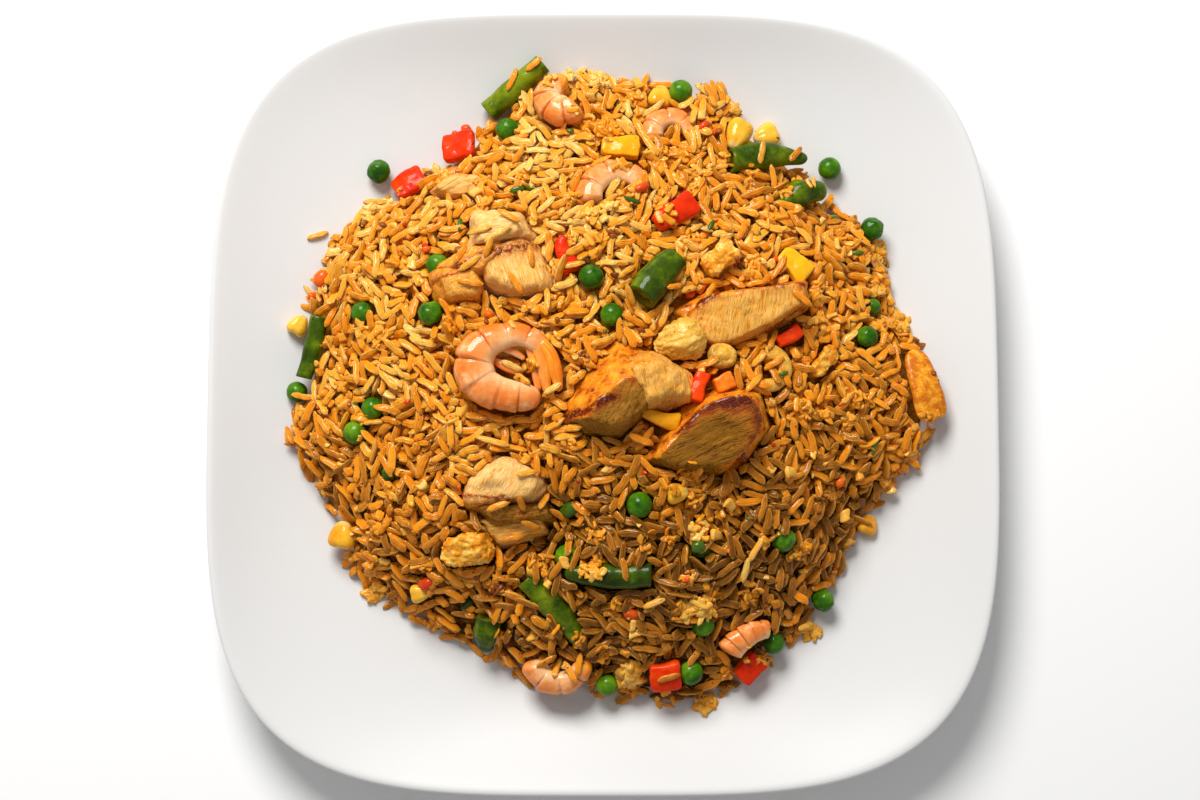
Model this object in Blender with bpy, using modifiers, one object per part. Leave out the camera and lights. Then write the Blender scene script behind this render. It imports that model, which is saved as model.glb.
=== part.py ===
"""A rounded-square coupe plate that carries a mound of fried rice with its toppings.

The plate is a turned profile drawn out to a rounded square. The rice is one solid: a lobed dome that
follows the plate's floor. Shrimps, chicken, beans, peas, corn, peppers, egg and mushrooms each lie in
a pocket of the dome. Lengths in the tables are millimetres; +Y is the far side, +Z is up.
"""
import math

import bmesh
import bpy
from mathutils import Matrix, Vector

MM = 0.001
GAP = 0.35                 # clearance between touching pieces

# Plate: half its width, the flat well inside it and how square the rim is.
PLATE_HALF = 135.0
WELL_RADIUS = 84.0
WELL_FLOOR = 6.0
RIM_HEIGHT = 22.0
RIM_SQUARENESS = 3.8       # exponent of the superellipse at the rim; 2 is a circle
RIM_SLOPE = ((12, 1.1), (24, 4.4), (36, 9.4), (47, 15.0))      # (out, up) from the well's edge
LIP = ((-1.6, 0.0), (0.0, -1.0), (-0.8, -2.6))                 # (out, up) from the rim's top edge
UNDERSIDE = ((120, 11.3), (103, 5.4), (87, 3.2))               # (radius, height)
PLATE_STEPS = 44
FOOT_RADIUS = 81.5
FOOT_WIDTH = 5.0
FOOT_DRAFT = 1.5
FOOT_RECESS = 2.4

# Rice: the dome's crown height above the table, the thickness at its edge and its outline.
CROWN = 46.0
EDGE_THICKNESS = 5.0
HEAP_STEPS = 46
OUTLINE = (                # (degrees from +X, radius): the scalloped edge of the heap
    (0, 115), (10, 110), (20, 105), (31, 112), (41, 104), (52, 109), (62, 109), (70, 117),
    (80, 109), (90, 114), (100, 116), (110, 107), (121, 102), (133, 101), (142, 107), (152, 109),
    (160, 107), (170, 104), (181, 105), (191, 108), (201, 97), (212, 104), (222, 99), (232, 98),
    (246, 95), (260, 101), (270, 99), (280, 104), (290, 107), (305, 104), (318, 102), (332, 98),
    (341, 101), (350, 110))
MEAN_RADIUS = 106.0        # the dome is round inside; its scallops grow toward the edge
SCALLOP_POWER = 3
DOME_POWER = 2.3           # the dome's section: 1 - reach ** DOME_POWER, raised to DOME_ROUNDING
DOME_ROUNDING = 0.85
FADE_POWER = 6             # how late the humps and ripples die away toward the edge
HUMPS = (                  # (x, y, spread, height): rises and hollows of the heap
    (-30, 12, 22, 2.5), (12, 5, 26, 2.5), (38, -8, 24, 2.5), (-42, 45, 22, 1.5), (48, 30, 24, 1.5),
    (-24, -46, 12, -7), (31, 20, 9, -3), (-76, -12, 13, -4), (10, -80, 20, 2), (-60, -40, 18, 1.5),
    (60, -50, 20, 1.5), (30, 60, 20, -1.5), (-5, 62, 18, 1))
RIPPLE = 1.2
RIPPLE_LENGTHS = (6.1, 7.3, 4.2)     # along X, along Y and across
TOP_RINGS = (0.0, 0.18, 0.35, 0.51, 0.66, 0.79, 0.90, 0.975)   # shares of the heap's radius
EDGE_RINGS = ((1.0, 1.0), (0.98, 0.0))                         # (share, level)
FLOOR_RINGS = (0.90, 0.81, 0.0)
BED_MARGIN = 1.1           # how much larger than its topping a bed in the rice is
BED_FACES = 50             # beds with more faces than this are made coarser
BED_RATIO = 0.42
BALL_BED = 1.36            # a 20-sided bed clears the ball in it at this scale

# Toppings. Places are (x, y); lift is the centre's height over the rice; turns are degrees about Z.
PEAS = (                   # (x, y, diameter, lift)
    (-78, 80, 8.4, 2.0), (-33, 93, 8.2, 1.0), (27, 107, 8.4, 2.0), (79, 81, 8.2, 2.0),
    (93, 59, 8.0, 1.0), (90, 20, 7.6, 1.0), (-56, 43, 8.0, 1.0), (-82, 28, 8.0, 1.0),
    (-58, 26, 8.4, 1.0), (-4, 37, 8.8, 2.0), (3, 24, 8.0, 2.0), (12, -39, 9.0, 1.0),
    (75, -69, 8.0, 1.0))
CORN = (                   # (x, y, length, width, height, turn, lift)
    (-105, 26, 7.6, 6.2, 6.0, 60, 1.5), (47, 91, 11.0, 8.0, 7.0, 65, 2.5),
    (57, 93, 9.0, 7.4, 6.4, 20, 1.5), (-89, -47, 9.6, 8.6, 7.0, 80, 1.5),
    (24.5, -35, 7.6, 6.4, 6.0, 10, 1.5))
BEANS = (                  # (one end x, y, z), (other end x, y, z), diameter, bow, end sizes
    ((-40, 101, 14.2), (-21, 117, 18.8), 7.6, 0.0, (0.95, 0.75)),
    ((45, 80.5, 24.5), (69.5, 83, 18.0), 9.4, 1.6, (0.95, 0.60)),
    ((61, 65, 25.5), (76, 71.5, 19.0), 10.0, 1.2, (0.50, 0.75)),
    ((14, 29.5, 50.5), (24.5, 42.5, 46.0), 10.8, 0.8, (0.95, 0.70)),
    ((-98, 27.5, 18.5), (-103, 7.5, 16.5), 6.2, 0.8, (0.90, 0.80)),
    ((-12, -60.5, 37.0), (15.5, -61, 38.5), 8.6, -0.8, (0.70, 0.95)),
    ((-26, -64, 31.0), (-8, -83, 26.5), 9.4, 1.4, (0.80, 0.60)),
    ((-38.5, -75, 22.0), (-40, -86, 15.5), 9.4, 0.0, (0.80, 0.65)))
SHRIMPS = (                # (x, y, curl radius, thick, thin, start, sweep, lift)
    (-31.5, 6, 10.8, 6.3, 3.6, -25, -285, 4.0), (-15, 103, 5.6, 4.5, 2.8, -35, -262, 2.5),
    (23.5, 93, 6.6, 4.5, 3.2, 200, -200, 0.5), (3, 71, 9.5, 5.2, 3.8, 195, -165, 1.5),
    (-15, -94, 8.6, 4.8, 3.4, 190, 165, 2.2), (48, -82, 15.0, 4.8, 3.4, 152, -66, 2.0))
CHICKEN = (                # (x, y, length, width, height, turn, taper, lift)
    (-35, 42, 33, 21, 12, 27, 0.25, 2.5), (49, 28.5, 32, 12.5, 10, 9, -0.40, 2.5),
    (10, -3, 28, 18, 13, 26, 0.20, 3.0), (37, -15.5, 33, 19, 12, 23, 0.70, 3.0),
    (-33.5, -30.5, 26, 15.5, 11, -4, 0.30, 2.5))
STRIPS = (                 # (x, y, length, width, height, turn, taper, lift)
    (-50, 73, 17, 5.4, 5, 24, 0.2, 1.5), (-24.5, -44.5, 18, 7, 6, -4, 0.1, 2.0))
EGGS = (                   # columns of the tables from here on are those of CHICKEN
    (38.5, 43.5, 12, 11, 5.5, 40, 0.3, 1.5), (109, 4, 24, 12.5, 6, -76, 0.2, 2.5),
    (-46, -53.5, 17, 11, 8, 8, 0.2, 2.0), (74, 9.5, 14, 7, 6, 42, 0.3, 1.5))
PEPPERS = (
    (-50, 88, 10.8, 10, 4.4, 4, 0.05, 2.5), (-67.5, 75.5, 10.5, 9.2, 4.4, 32, 0.10, 5.5),
    (24, 60, 16, 9.5, 4.4, 36, 0.30, 1.5), (-13, 45, 12, 6.4, 4.4, -72, 0.35, 1.5),
    (31.5, -0.5, 10, 5, 5, 75, 0.20, 0.5), (62, 17.8, 8.6, 4.6, 4, 36, 0.25, 0.5),
    (21, -95, 9.8, 9.2, 5, 5, 0.05, 2.0), (49.5, -92.5, 8.8, 7, 5, 48, 0.10, 2.5))
CARROTS = ((40, 1, 6.2, 5.4, 5.4, 20, 0.10, 1.0),)
YELLOW_PEPPERS = (
    (6, 85, 12.5, 8.4, 4.4, -4, 0.25, 1.5), (64.5, 43.5, 11.5, 8.4, 4.6, -40, 0.20, 1.5),
    (17.5, -15, 10, 5.4, 4.4, -8, 0.25, 0.5))
CHUNKS = (                 # (name, table, material, cuts along an edge, bend, roundness)
    ("chicken", CHICKEN, "chicken_tan", 2, 1.0, 0.45),
    ("chicken_strip", STRIPS, "chicken_tan", 1, 0.6, 0.45),
    ("egg", EGGS, "egg_yellow", 1, 0.8, 0.55),
    ("pepper", PEPPERS, "pepper_red", 1, 0.5, 0.25),
    ("carrot", CARROTS, "carrot_orange", 1, 0.0, 0.30),
    ("yellow_pepper", YELLOW_PEPPERS, "pepper_yellow", 1, 0.7, 0.30))
MUSHROOMS = (              # (x, y, length, width, height, turn, taper, lift)
    (25, 15, 18, 12.5, 11, 14, -0.45, 2.5), (39.5, 10.5, 9.2, 9.0, 7.6, 0, 0.0, 1.0))
MUSHROOM_SLICE = (57, 7, 6.0, 2.7, 2.2, 82, -160, 1.5)

COLOURS = {                # name: ((red, green, blue), roughness)
    "glazed_white": ((0.86, 0.85, 0.83), 0.15), "rice": ((0.80, 0.48, 0.12), 0.50),
    "pea_green": ((0.07, 0.26, 0.03), 0.30), "corn_yellow": ((0.90, 0.52, 0.05), 0.35),
    "bean_green": ((0.09, 0.22, 0.03), 0.30), "shrimp_pink": ((0.88, 0.44, 0.22), 0.35),
    "chicken_tan": ((0.76, 0.46, 0.18), 0.50), "egg_yellow": ((0.88, 0.55, 0.12), 0.50),
    "pepper_red": ((0.80, 0.07, 0.02), 0.30), "carrot_orange": ((0.88, 0.22, 0.02), 0.40),
    "pepper_yellow": ((0.92, 0.50, 0.03), 0.30), "mushroom_cream": ((0.78, 0.55, 0.25), 0.45)}


def clear_scene():
    """Remove whatever the scene holds."""
    for old in list(bpy.data.objects):
        bpy.data.objects.remove(old, do_unlink=True)


def material(name):
    """Return the Principled material of that name, made on first use."""
    found = bpy.data.materials.get(name)
    if found:
        return found
    colour, roughness = COLOURS[name]
    made = bpy.data.materials.new(name)
    made.use_nodes = True
    shader = made.node_tree.nodes["Principled BSDF"]
    shader.inputs["Base Color"].default_value = (*colour, 1.0)
    shader.inputs["Roughness"].default_value = roughness
    shader.inputs["Metallic"].default_value = 0.0
    return made


# ---------------------------------------------------------------- surfaces that the pieces rest on

def plate_profile():
    """Half section of the plate, from the well's centre over the rim and under to the foot's middle."""
    slope = [(WELL_RADIUS + out, WELL_FLOOR + up) for out, up in RIM_SLOPE]
    lip = [(PLATE_HALF + out, RIM_HEIGHT + up) for out, up in LIP]
    foot_out = FOOT_RADIUS + FOOT_WIDTH / 2
    foot_in = FOOT_RADIUS - FOOT_WIDTH / 2
    foot = [(foot_out, 0.0), (foot_in, 0.0), (foot_in - FOOT_DRAFT, FOOT_RECESS)]
    top = [(0.0, WELL_FLOOR), (WELL_RADIUS, WELL_FLOOR)] + slope
    return top, top + lip + list(UNDERSIDE) + foot + [(0.0, FOOT_RECESS)]


def squareness(radius):
    """Superellipse exponent of the plate's ring that meets +X at that radius."""
    t = min(max((radius - WELL_RADIUS) / (PLATE_HALF - WELL_RADIUS), 0.0), 1.0)
    return 2.0 + (RIM_SQUARENESS - 2.0) * t * t * (3.0 - 2.0 * t)


def ring_stretch(radius, angle):
    """How much farther out than a circle that ring lies in the given direction."""
    n = squareness(radius)
    return (abs(math.cos(angle)) ** n + abs(math.sin(angle)) ** n) ** (-1.0 / n)


def plate_floor(x, y):
    """Height of the plate's upper face at (x, y)."""
    distance = math.hypot(x, y)
    angle = math.atan2(y, x)
    low, high = 0.0, PLATE_HALF
    for _ in range(24):
        middle = (low + high) / 2
        if middle * ring_stretch(middle, angle) < distance:
            low = middle
        else:
            high = middle
    top, _ = plate_profile()
    for (r0, z0), (r1, z1) in zip(top, top[1:]):
        if low <= r1:
            return z0 + (z1 - z0) * (low - r0) / (r1 - r0)
    return top[-1][1]


def heap_radius(angle):
    """Smooth outline of the heap through the OUTLINE points, as a closed Catmull-Rom curve."""
    degrees = math.degrees(angle) % 360.0
    count = len(OUTLINE)
    for i, (start, r1) in enumerate(OUTLINE):
        end, r2 = OUTLINE[(i + 1) % count]
        if end <= start:
            end += 360
        if start <= degrees < end:
            t = (degrees - start) / (end - start)
            r0 = OUTLINE[i - 1][1]
            r3 = OUTLINE[(i + 2) % count][1]
            return 0.5 * (2 * r1 + (r2 - r0) * t + (2 * r0 - 5 * r1 + 4 * r2 - r3) * t * t
                          + (3 * r1 - r0 - 3 * r2 + r3) * t ** 3)
    return OUTLINE[0][1]


def heap_top(x, y):
    """Height of the rice at (x, y), or of the plate outside the heap's outline."""
    floor = plate_floor(x, y)
    rim = heap_radius(math.atan2(y, x))
    share = math.hypot(x, y) / rim
    if share > 1.0:
        return floor
    reach = share * rim / (MEAN_RADIUS + (rim - MEAN_RADIUS) * share ** SCALLOP_POWER)
    edge = floor + EDGE_THICKNESS
    height = edge + (CROWN - edge) * (1.0 - reach ** DOME_POWER) ** DOME_ROUNDING
    fade = 1.0 - reach ** FADE_POWER
    for hump_x, hump_y, spread, rise in HUMPS:
        away = ((x - hump_x) ** 2 + (y - hump_y) ** 2) / spread ** 2
        height += fade * rise * math.exp(-away)
    along_x, along_y, across = RIPPLE_LENGTHS
    wave = math.sin(x / along_x + 1.0) * math.cos(y / along_y) + 0.6 * math.sin((x + y) / across)
    return height + fade * RIPPLE * wave


def rest_height(x, y, lift, half_height):
    """Centre height of a piece at (x, y): lifted over the rice and clear of the plate."""
    return max(heap_top(x, y) + lift, plate_floor(x, y) + half_height + 2 * GAP)


def lean(x, y, span, share=0.7, most=0.42):
    """Rotation that tips +Z part of the way to the slope of the rice, measured over a span."""
    rise_x = rest_height(x + span, y, 0, 0) - rest_height(x - span, y, 0, 0)
    rise_y = rest_height(x, y + span, 0, 0) - rest_height(x, y - span, 0, 0)
    slope = Vector((-rise_x, -rise_y)) * share / (2 * span)
    if slope.length > most:
        slope *= most / slope.length
    return Vector((0, 0, 1)).rotation_difference((slope.x, slope.y, 1.0)).to_matrix()


# ---------------------------------------------------------------- ways of making shapes

def link_new(name, mesh, collection, finish):
    """Make an object of the mesh, with its material and smooth shading."""
    made = bpy.data.objects.new(name, mesh)
    mesh.materials.clear()
    mesh.materials.append(material(finish))
    mesh.shade_smooth()
    mesh.set_sharp_from_angle(angle=math.radians(50))
    collection.objects.link(made)
    return made


def mesh_from(build, name):
    """Mesh filled by a function that is handed an empty bmesh."""
    shape = bmesh.new()
    build(shape)
    bmesh.ops.recalc_face_normals(shape, faces=shape.faces)
    mesh = bpy.data.meshes.new(name)
    shape.to_mesh(mesh)
    shape.free()
    return mesh


def evaluated_mesh(source, name, weld=0.00002):
    """Mesh of an object as its modifiers leave it, with seams and caps welded."""
    bpy.context.view_layer.update()
    graph = bpy.context.evaluated_depsgraph_get()
    mesh = bpy.data.meshes.new_from_object(source.evaluated_get(graph))
    mesh.name = name
    shape = bmesh.new()
    shape.from_mesh(mesh)
    bmesh.ops.remove_doubles(shape, verts=shape.verts, dist=weld)
    bmesh.ops.recalc_face_normals(shape, faces=shape.faces)
    shape.to_mesh(mesh)
    shape.free()
    return mesh


def turned_mesh(name, profile, steps, collection):
    """Closed mesh of revolution about Z through the (radius, height) points of a profile."""
    line = bpy.data.meshes.new(name + "_profile")
    points = [(radius * MM, 0.0, height * MM) for radius, height in profile]
    line.from_pydata(points, [(i, i + 1) for i in range(len(points) - 1)], [])
    guide = bpy.data.objects.new(name + "_profile", line)
    collection.objects.link(guide)
    screw = guide.modifiers.new("turn", "SCREW")
    screw.steps = steps
    screw.render_steps = steps
    screw.use_merge_vertices = True
    screw.merge_threshold = 0.00002
    mesh = evaluated_mesh(guide, name)
    bpy.data.objects.remove(guide, do_unlink=True)
    return mesh


def tube_mesh(name, points, radii, collection, flatten=1.0):
    """Capped tube through the points, with a radius at each, pressed flatter along its own Z."""
    curve = bpy.data.curves.new(name + "_curve", "CURVE")
    curve.dimensions = "3D"
    curve.bevel_depth = MM
    curve.bevel_resolution = 2
    curve.use_fill_caps = True
    curve.twist_mode = "Z_UP"
    spline = curve.splines.new("POLY")
    spline.points.add(len(points) - 1)
    for point, place, radius in zip(spline.points, points, radii):
        point.co = (place[0] * MM, place[1] * MM, place[2] * MM, 1.0)
        point.radius = radius
    guide = bpy.data.objects.new(name + "_curve", curve)
    collection.objects.link(guide)
    mesh = evaluated_mesh(guide, name)
    mesh.transform(Matrix.Diagonal((1.0, 1.0, flatten, 1.0)))
    bpy.data.objects.remove(guide, do_unlink=True)
    return mesh


def blob_mesh(name, length, width, height, taper=0.0):
    """Rounded grain: a sphere stretched to size and narrowed toward +X by the taper."""
    def build(shape):
        bmesh.ops.create_uvsphere(shape, u_segments=8, v_segments=5, radius=0.5)
        for vertex in shape.verts:
            narrow = 1.0 - taper * vertex.co.x
            vertex.co = Vector((vertex.co.x * length, vertex.co.y * width * narrow,
                                vertex.co.z * height * narrow)) * MM
    return mesh_from(build, name)


def chunk_mesh(name, length, width, height, cuts, taper, bend, roundness):
    """Cut piece of food: a soft-edged block, narrowed toward -X and arched along its length."""
    ball_size = 1.25
    def build(shape):
        bmesh.ops.create_cube(shape, size=2.0)
        bmesh.ops.subdivide_edges(shape, edges=shape.edges, cuts=cuts, use_grid_fill=True)
        for vertex in shape.verts:
            ball = vertex.co.normalized() * ball_size
            soft = vertex.co.lerp(ball, roundness)
            narrow = 1.0 - taper * (0.5 - soft.x / 2)
            thinner = 1.0 - abs(1.0 - narrow) / 2
            arch = bend * (1.0 - soft.x ** 2)
            vertex.co = Vector((soft.x * length / 2, soft.y * width / 2 * narrow,
                                soft.z * height / 2 * thinner + arch)) * MM
    return mesh_from(build, name)


# ---------------------------------------------------------------- the pieces

def make_plate(parts):
    """Plate: the turned profile, each ring drawn out from a circle to a rounded square."""
    _, profile = plate_profile()
    mesh = turned_mesh("plate", profile, PLATE_STEPS, parts)
    for vertex in mesh.vertices:
        radius = math.hypot(vertex.co.x, vertex.co.y)
        if radius > 0.0:
            stretch = ring_stretch(radius / MM, math.atan2(vertex.co.y, vertex.co.x))
            vertex.co.x *= stretch
            vertex.co.y *= stretch
    return link_new("plate", mesh, parts, "glazed_white")


def make_heap(parts):
    """Rice heap before its pockets: a disc of unit radius laid between the plate and the dome."""
    top_rings = [(share, 2.0) for share in TOP_RINGS]
    floor_rings = [(share, 0.0) for share in FLOOR_RINGS]
    mesh = turned_mesh("rice_heap", top_rings + list(EDGE_RINGS) + floor_rings, HEAP_STEPS, parts)
    for vertex in mesh.vertices:
        angle = math.atan2(vertex.co.y, vertex.co.x)
        distance = math.hypot(vertex.co.x, vertex.co.y) / MM * heap_radius(angle)
        level = vertex.co.z / MM / 2
        x = distance * math.cos(angle)
        y = distance * math.sin(angle)
        floor = plate_floor(x, y) + GAP
        top = max(heap_top(x, y), floor + EDGE_THICKNESS) if level else floor
        vertex.co = Vector((x, y, floor + (top - floor) * level)) * MM
    shape = bmesh.new()
    shape.from_mesh(mesh)
    bmesh.ops.triangulate(shape, faces=shape.faces)
    shape.to_mesh(mesh)
    shape.free()
    return link_new("rice_heap", mesh, parts, "rice")


def place(piece, x, y, z, turn, tip):
    """Set a piece down: turned about its own Z, then tipped with the slope."""
    piece.location = (x * MM, y * MM, z * MM)
    piece.rotation_euler = (tip @ Matrix.Rotation(math.radians(turn), 3, "Z")).to_euler()
    return piece


def make_peas(parts):
    """Peas: slightly flattened balls."""
    made = []
    for i, (x, y, diameter, lift) in enumerate(PEAS, 1):
        name = f"pea_{i:02d}"
        mesh = blob_mesh(name, diameter, diameter, diameter * 0.92)
        piece = link_new(name, mesh, parts, "pea_green")
        place(piece, x, y, rest_height(x, y, lift, diameter / 2), 25 * i, lean(x, y, diameter / 2))
        made.append(piece)
    return made


def make_corn(parts):
    """Sweetcorn kernels: rounded grains that narrow to the tip they were cut from."""
    made = []
    for i, (x, y, length, width, height, turn, lift) in enumerate(CORN, 1):
        name = f"corn_{i}"
        mesh = blob_mesh(name, length, width, height, taper=0.35)
        piece = link_new(name, mesh, parts, "corn_yellow")
        place(piece, x, y, rest_height(x, y, lift, height / 2), turn, lean(x, y, length / 2))
        made.append(piece)
    return made


def make_beans(parts):
    """Green beans: bowed tubes from one cut end to the other."""
    made = []
    stations = (0.0, 0.12, 0.38, 0.64, 0.89, 1.0)
    for i, (start, end, diameter, bow, ends) in enumerate(BEANS, 1):
        name = f"bean_{i}"
        axis = Vector(end) - Vector(start)
        points = [(axis.length * (t - 0.5), bow * 4 * t * (1 - t), 0.0) for t in stations]
        fullness = (ends[0], (1 + ends[0]) / 2, 1.0, 0.98, (1 + ends[1]) / 2, ends[1])
        mesh = tube_mesh(name, points, [diameter / 2 * full for full in fullness], parts)
        piece = link_new(name, mesh, parts, "bean_green")
        piece.location = (Vector(start) + Vector(end)) / 2 * MM
        piece.rotation_euler = (0.0, -math.asin(axis.z / axis.length), math.atan2(axis.y, axis.x))
        made.append(piece)
    return made


def curl_mesh(name, curl, thick, thin, start, sweep, count, parts, segments=0.0):
    """Tube curled on an arc about its own middle, thick at the start and thin at the end."""
    arch = 1.2
    start_round, end_round, rounding = 0.62, 0.55, 3.0
    points = []
    radii = []
    for i in range(count):
        t = i / (count - 1)
        angle = math.radians(start + sweep * t)
        height = arch * math.sin(math.pi * t)
        points.append(Vector((curl * math.cos(angle), curl * math.sin(angle), height)))
        full = min(1.0, start_round + rounding * t, end_round + rounding * (1 - t))
        ring = 1.0 + segments * (i % 2)
        radii.append((thick + (thin - thick) * t) * full * ring)
    middle = sum(points, Vector()) / count
    return tube_mesh(name, [point - middle for point in points], radii, parts, flatten=0.92)


def make_shrimps(parts):
    """Shrimps: segmented tails curled up in the rice."""
    made = []
    full_curl = 265
    for i, (x, y, curl, thick, thin, start, sweep, lift) in enumerate(SHRIMPS, 1):
        name = f"shrimp_{i}"
        rings = 15 if abs(sweep) > full_curl else 8
        mesh = curl_mesh(name, curl, thick, thin, start, sweep, rings, parts, segments=0.05)
        piece = link_new(name, mesh, parts, "shrimp_pink")
        place(piece, x, y, rest_height(x, y, lift, thick), 0.0, lean(x, y, curl))
        made.append(piece)
    return made


def make_chunks(parts, label, table, finish, cuts, bend, roundness):
    """Cut pieces from one of the tables, named label_1, label_2 and so on."""
    made = []
    for i, (x, y, length, width, height, turn, taper, lift) in enumerate(table, 1):
        name = f"{label}_{i}"
        mesh = chunk_mesh(name, length, width, height, cuts, taper, bend, roundness)
        piece = link_new(name, mesh, parts, finish)
        place(piece, x, y, rest_height(x, y, lift, height / 2), turn, lean(x, y, length / 3))
        made.append(piece)
    return made


def make_mushrooms(parts):
    """Two mushroom caps and a curved slice."""
    made = []
    for i, (x, y, length, width, height, turn, taper, lift) in enumerate(MUSHROOMS, 1):
        name = f"mushroom_{i}"
        piece = link_new(name, blob_mesh(name, length, width, height, taper), parts, "mushroom_cream")
        place(piece, x, y, rest_height(x, y, lift, height / 2), turn, lean(x, y, length / 2))
        made.append(piece)
    x, y, curl, thick, thin, start, sweep, lift = MUSHROOM_SLICE
    mesh = curl_mesh("mushroom_3", curl, thick, thin, start, sweep, 7, parts)
    piece = link_new("mushroom_3", mesh, parts, "mushroom_cream")
    made.append(place(piece, x, y, rest_height(x, y, lift, thick), 0.0, lean(x, y, curl)))
    return made


def make_bed(topping, cutters):
    """Cutter for a topping's bed: a coarser shape, a little larger all round."""
    balls = topping.name.startswith("pea_")
    shape = bmesh.new()
    if balls:
        bmesh.ops.create_icosphere(shape, subdivisions=1, radius=0.5 * BALL_BED)
        extent = [max(vertex.co[axis] for vertex in topping.data.vertices) * 2 for axis in range(3)]
        bmesh.ops.scale(shape, verts=shape.verts, vec=extent)
    else:
        shape.from_mesh(topping.data)
        shape.normal_update()
        moves = [(vertex, vertex.normal * BED_MARGIN * MM) for vertex in shape.verts]
        for vertex, move in moves:
            vertex.co += move
    faces = len(shape.faces)
    mesh = bpy.data.meshes.new(topping.name + "_bed")
    shape.to_mesh(mesh)
    shape.free()
    bed = bpy.data.objects.new(topping.name + "_bed", mesh)
    bed.location = topping.location
    bed.rotation_euler = topping.rotation_euler
    bed.hide_render = True
    bed.display_type = "WIRE"
    cutters.objects.link(bed)
    if faces > BED_FACES:
        coarse = bed.modifiers.new("coarse", "DECIMATE")
        coarse.ratio = BED_RATIO
    return bed


def cut_pockets(heap, toppings, cutters):
    """Cut each topping's bed out of the heap and keep the one large body."""
    for topping in toppings:
        cut = heap.modifiers.new(topping.name, "BOOLEAN")
        cut.operation = "DIFFERENCE"
        cut.solver = "MANIFOLD"      # where beds meet, EXACT leaves an open edge
        cut.object = make_bed(topping, cutters)
    mesh = evaluated_mesh(heap, "rice_heap_cut", weld=0.0000005)
    heap.modifiers.clear()
    shape = bmesh.new()
    shape.from_mesh(mesh)
    keep_largest_body(shape)
    shape.to_mesh(mesh)
    shape.free()
    heap.data = mesh


def keep_largest_body(shape):
    """Delete the loose flakes that a cut leaves at the heap's thin edge."""
    waiting = set(shape.verts)
    bodies = []
    while waiting:
        body = {waiting.pop()}
        front = list(body)
        while front:
            vertex = front.pop()
            for edge in vertex.link_edges:
                other = edge.other_vert(vertex)
                if other not in body:
                    body.add(other)
                    front.append(other)
        waiting -= body
        bodies.append(body)
    bodies.sort(key=len)
    for body in bodies[:-1]:
        bmesh.ops.delete(shape, geom=list(body), context="VERTS")


def main():
    """Build the plate, the rice and every topping."""
    clear_scene()
    parts = bpy.data.collections.new("fried_rice_plate")
    cutters = bpy.data.collections.new("cutters")
    bpy.context.scene.collection.children.link(parts)
    bpy.context.scene.collection.children.link(cutters)
    make_plate(parts)
    heap = make_heap(parts)
    toppings = make_peas(parts) + make_corn(parts) + make_beans(parts) + make_shrimps(parts)
    for label, table, finish, cuts, bend, roundness in CHUNKS:
        toppings += make_chunks(parts, label, table, finish, cuts, bend, roundness)
    toppings += make_mushrooms(parts)
    cut_pockets(heap, toppings, cutters)


main()
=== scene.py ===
"""Fried rice on a rounded-square plate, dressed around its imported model.

Run as a script it makes the plate, the rice, every topping and the stage. Lengths inside the tables
and shape functions are millimetres; +Y is the far side of the plate and +Z is up.
"""

import math

import bmesh
import bpy
import numpy as np
from bpy.props import (FloatProperty, FloatVectorProperty, IntProperty, PointerProperty)
from bpy.types import Operator, Panel, PropertyGroup
from mathutils import Matrix, Vector
from mathutils.bvhtree import BVHTree


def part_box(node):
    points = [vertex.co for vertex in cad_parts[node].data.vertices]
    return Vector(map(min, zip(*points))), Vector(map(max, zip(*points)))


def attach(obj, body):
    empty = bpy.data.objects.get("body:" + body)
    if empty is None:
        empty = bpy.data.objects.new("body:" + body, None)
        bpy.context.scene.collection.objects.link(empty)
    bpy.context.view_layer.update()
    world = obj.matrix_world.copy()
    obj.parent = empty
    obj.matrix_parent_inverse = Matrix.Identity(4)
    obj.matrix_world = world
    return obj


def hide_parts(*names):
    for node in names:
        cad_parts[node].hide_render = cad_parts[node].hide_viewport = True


bl_info = {
    "name": "Fried Rice Plate",
    "version": (1, 0, 0),
    "blender": (4, 5, 0),
    "location": "View3D > Sidebar > Fried Rice",
    "description": "A plate of fried rice made grain by grain around its toppings",
    "category": "Object",
}

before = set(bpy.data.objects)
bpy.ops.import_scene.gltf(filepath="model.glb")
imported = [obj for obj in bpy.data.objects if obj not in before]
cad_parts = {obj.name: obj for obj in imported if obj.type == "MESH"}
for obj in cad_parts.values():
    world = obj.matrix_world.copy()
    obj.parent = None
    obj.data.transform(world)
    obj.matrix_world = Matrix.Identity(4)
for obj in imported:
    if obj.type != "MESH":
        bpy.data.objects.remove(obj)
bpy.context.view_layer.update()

MM = 0.001
BODY = "root"

# Plate: the turned section and how its rings grow from a circle to a rounded square.
PLATE_HALF = 135.0
WELL_RADIUS = 84.0
WELL_FLOOR = 6.0
RIM_SQUARENESS = 3.8
UPPER_SIDE = ((0.0, 6.0), (30.0, 6.0), (60.0, 6.0), (84.0, 6.0), (96.0, 7.1), (108.0, 10.4),
              (120.0, 15.4), (131.0, 21.0), (133.4, 22.0))
LIP = ((134.2, 21.95), (134.8, 21.6), (135.0, 20.9), (134.8, 20.0), (134.2, 19.4))
LOWER_SIDE = ((120.0, 11.3), (103.0, 5.4), (90.0, 3.0))
FOOT = ((85.2, 1.2), (84.0, 0.25), (83.2, 0.0), (80.0, 0.0), (79.2, 0.3), (77.6, 2.2), (76.0, 2.4))

SAUCE_HOLLOWS = (           # (x, y, spread, depth): dark gaps between the toppings
    (-23, -37, 7, 5), (-20, -49, 9, 5), (45, 21, 6, 4), (30, -3, 4, 3), (-10, -43, 5, 3))


# ---------------------------------------------------------------- numbers

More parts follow.
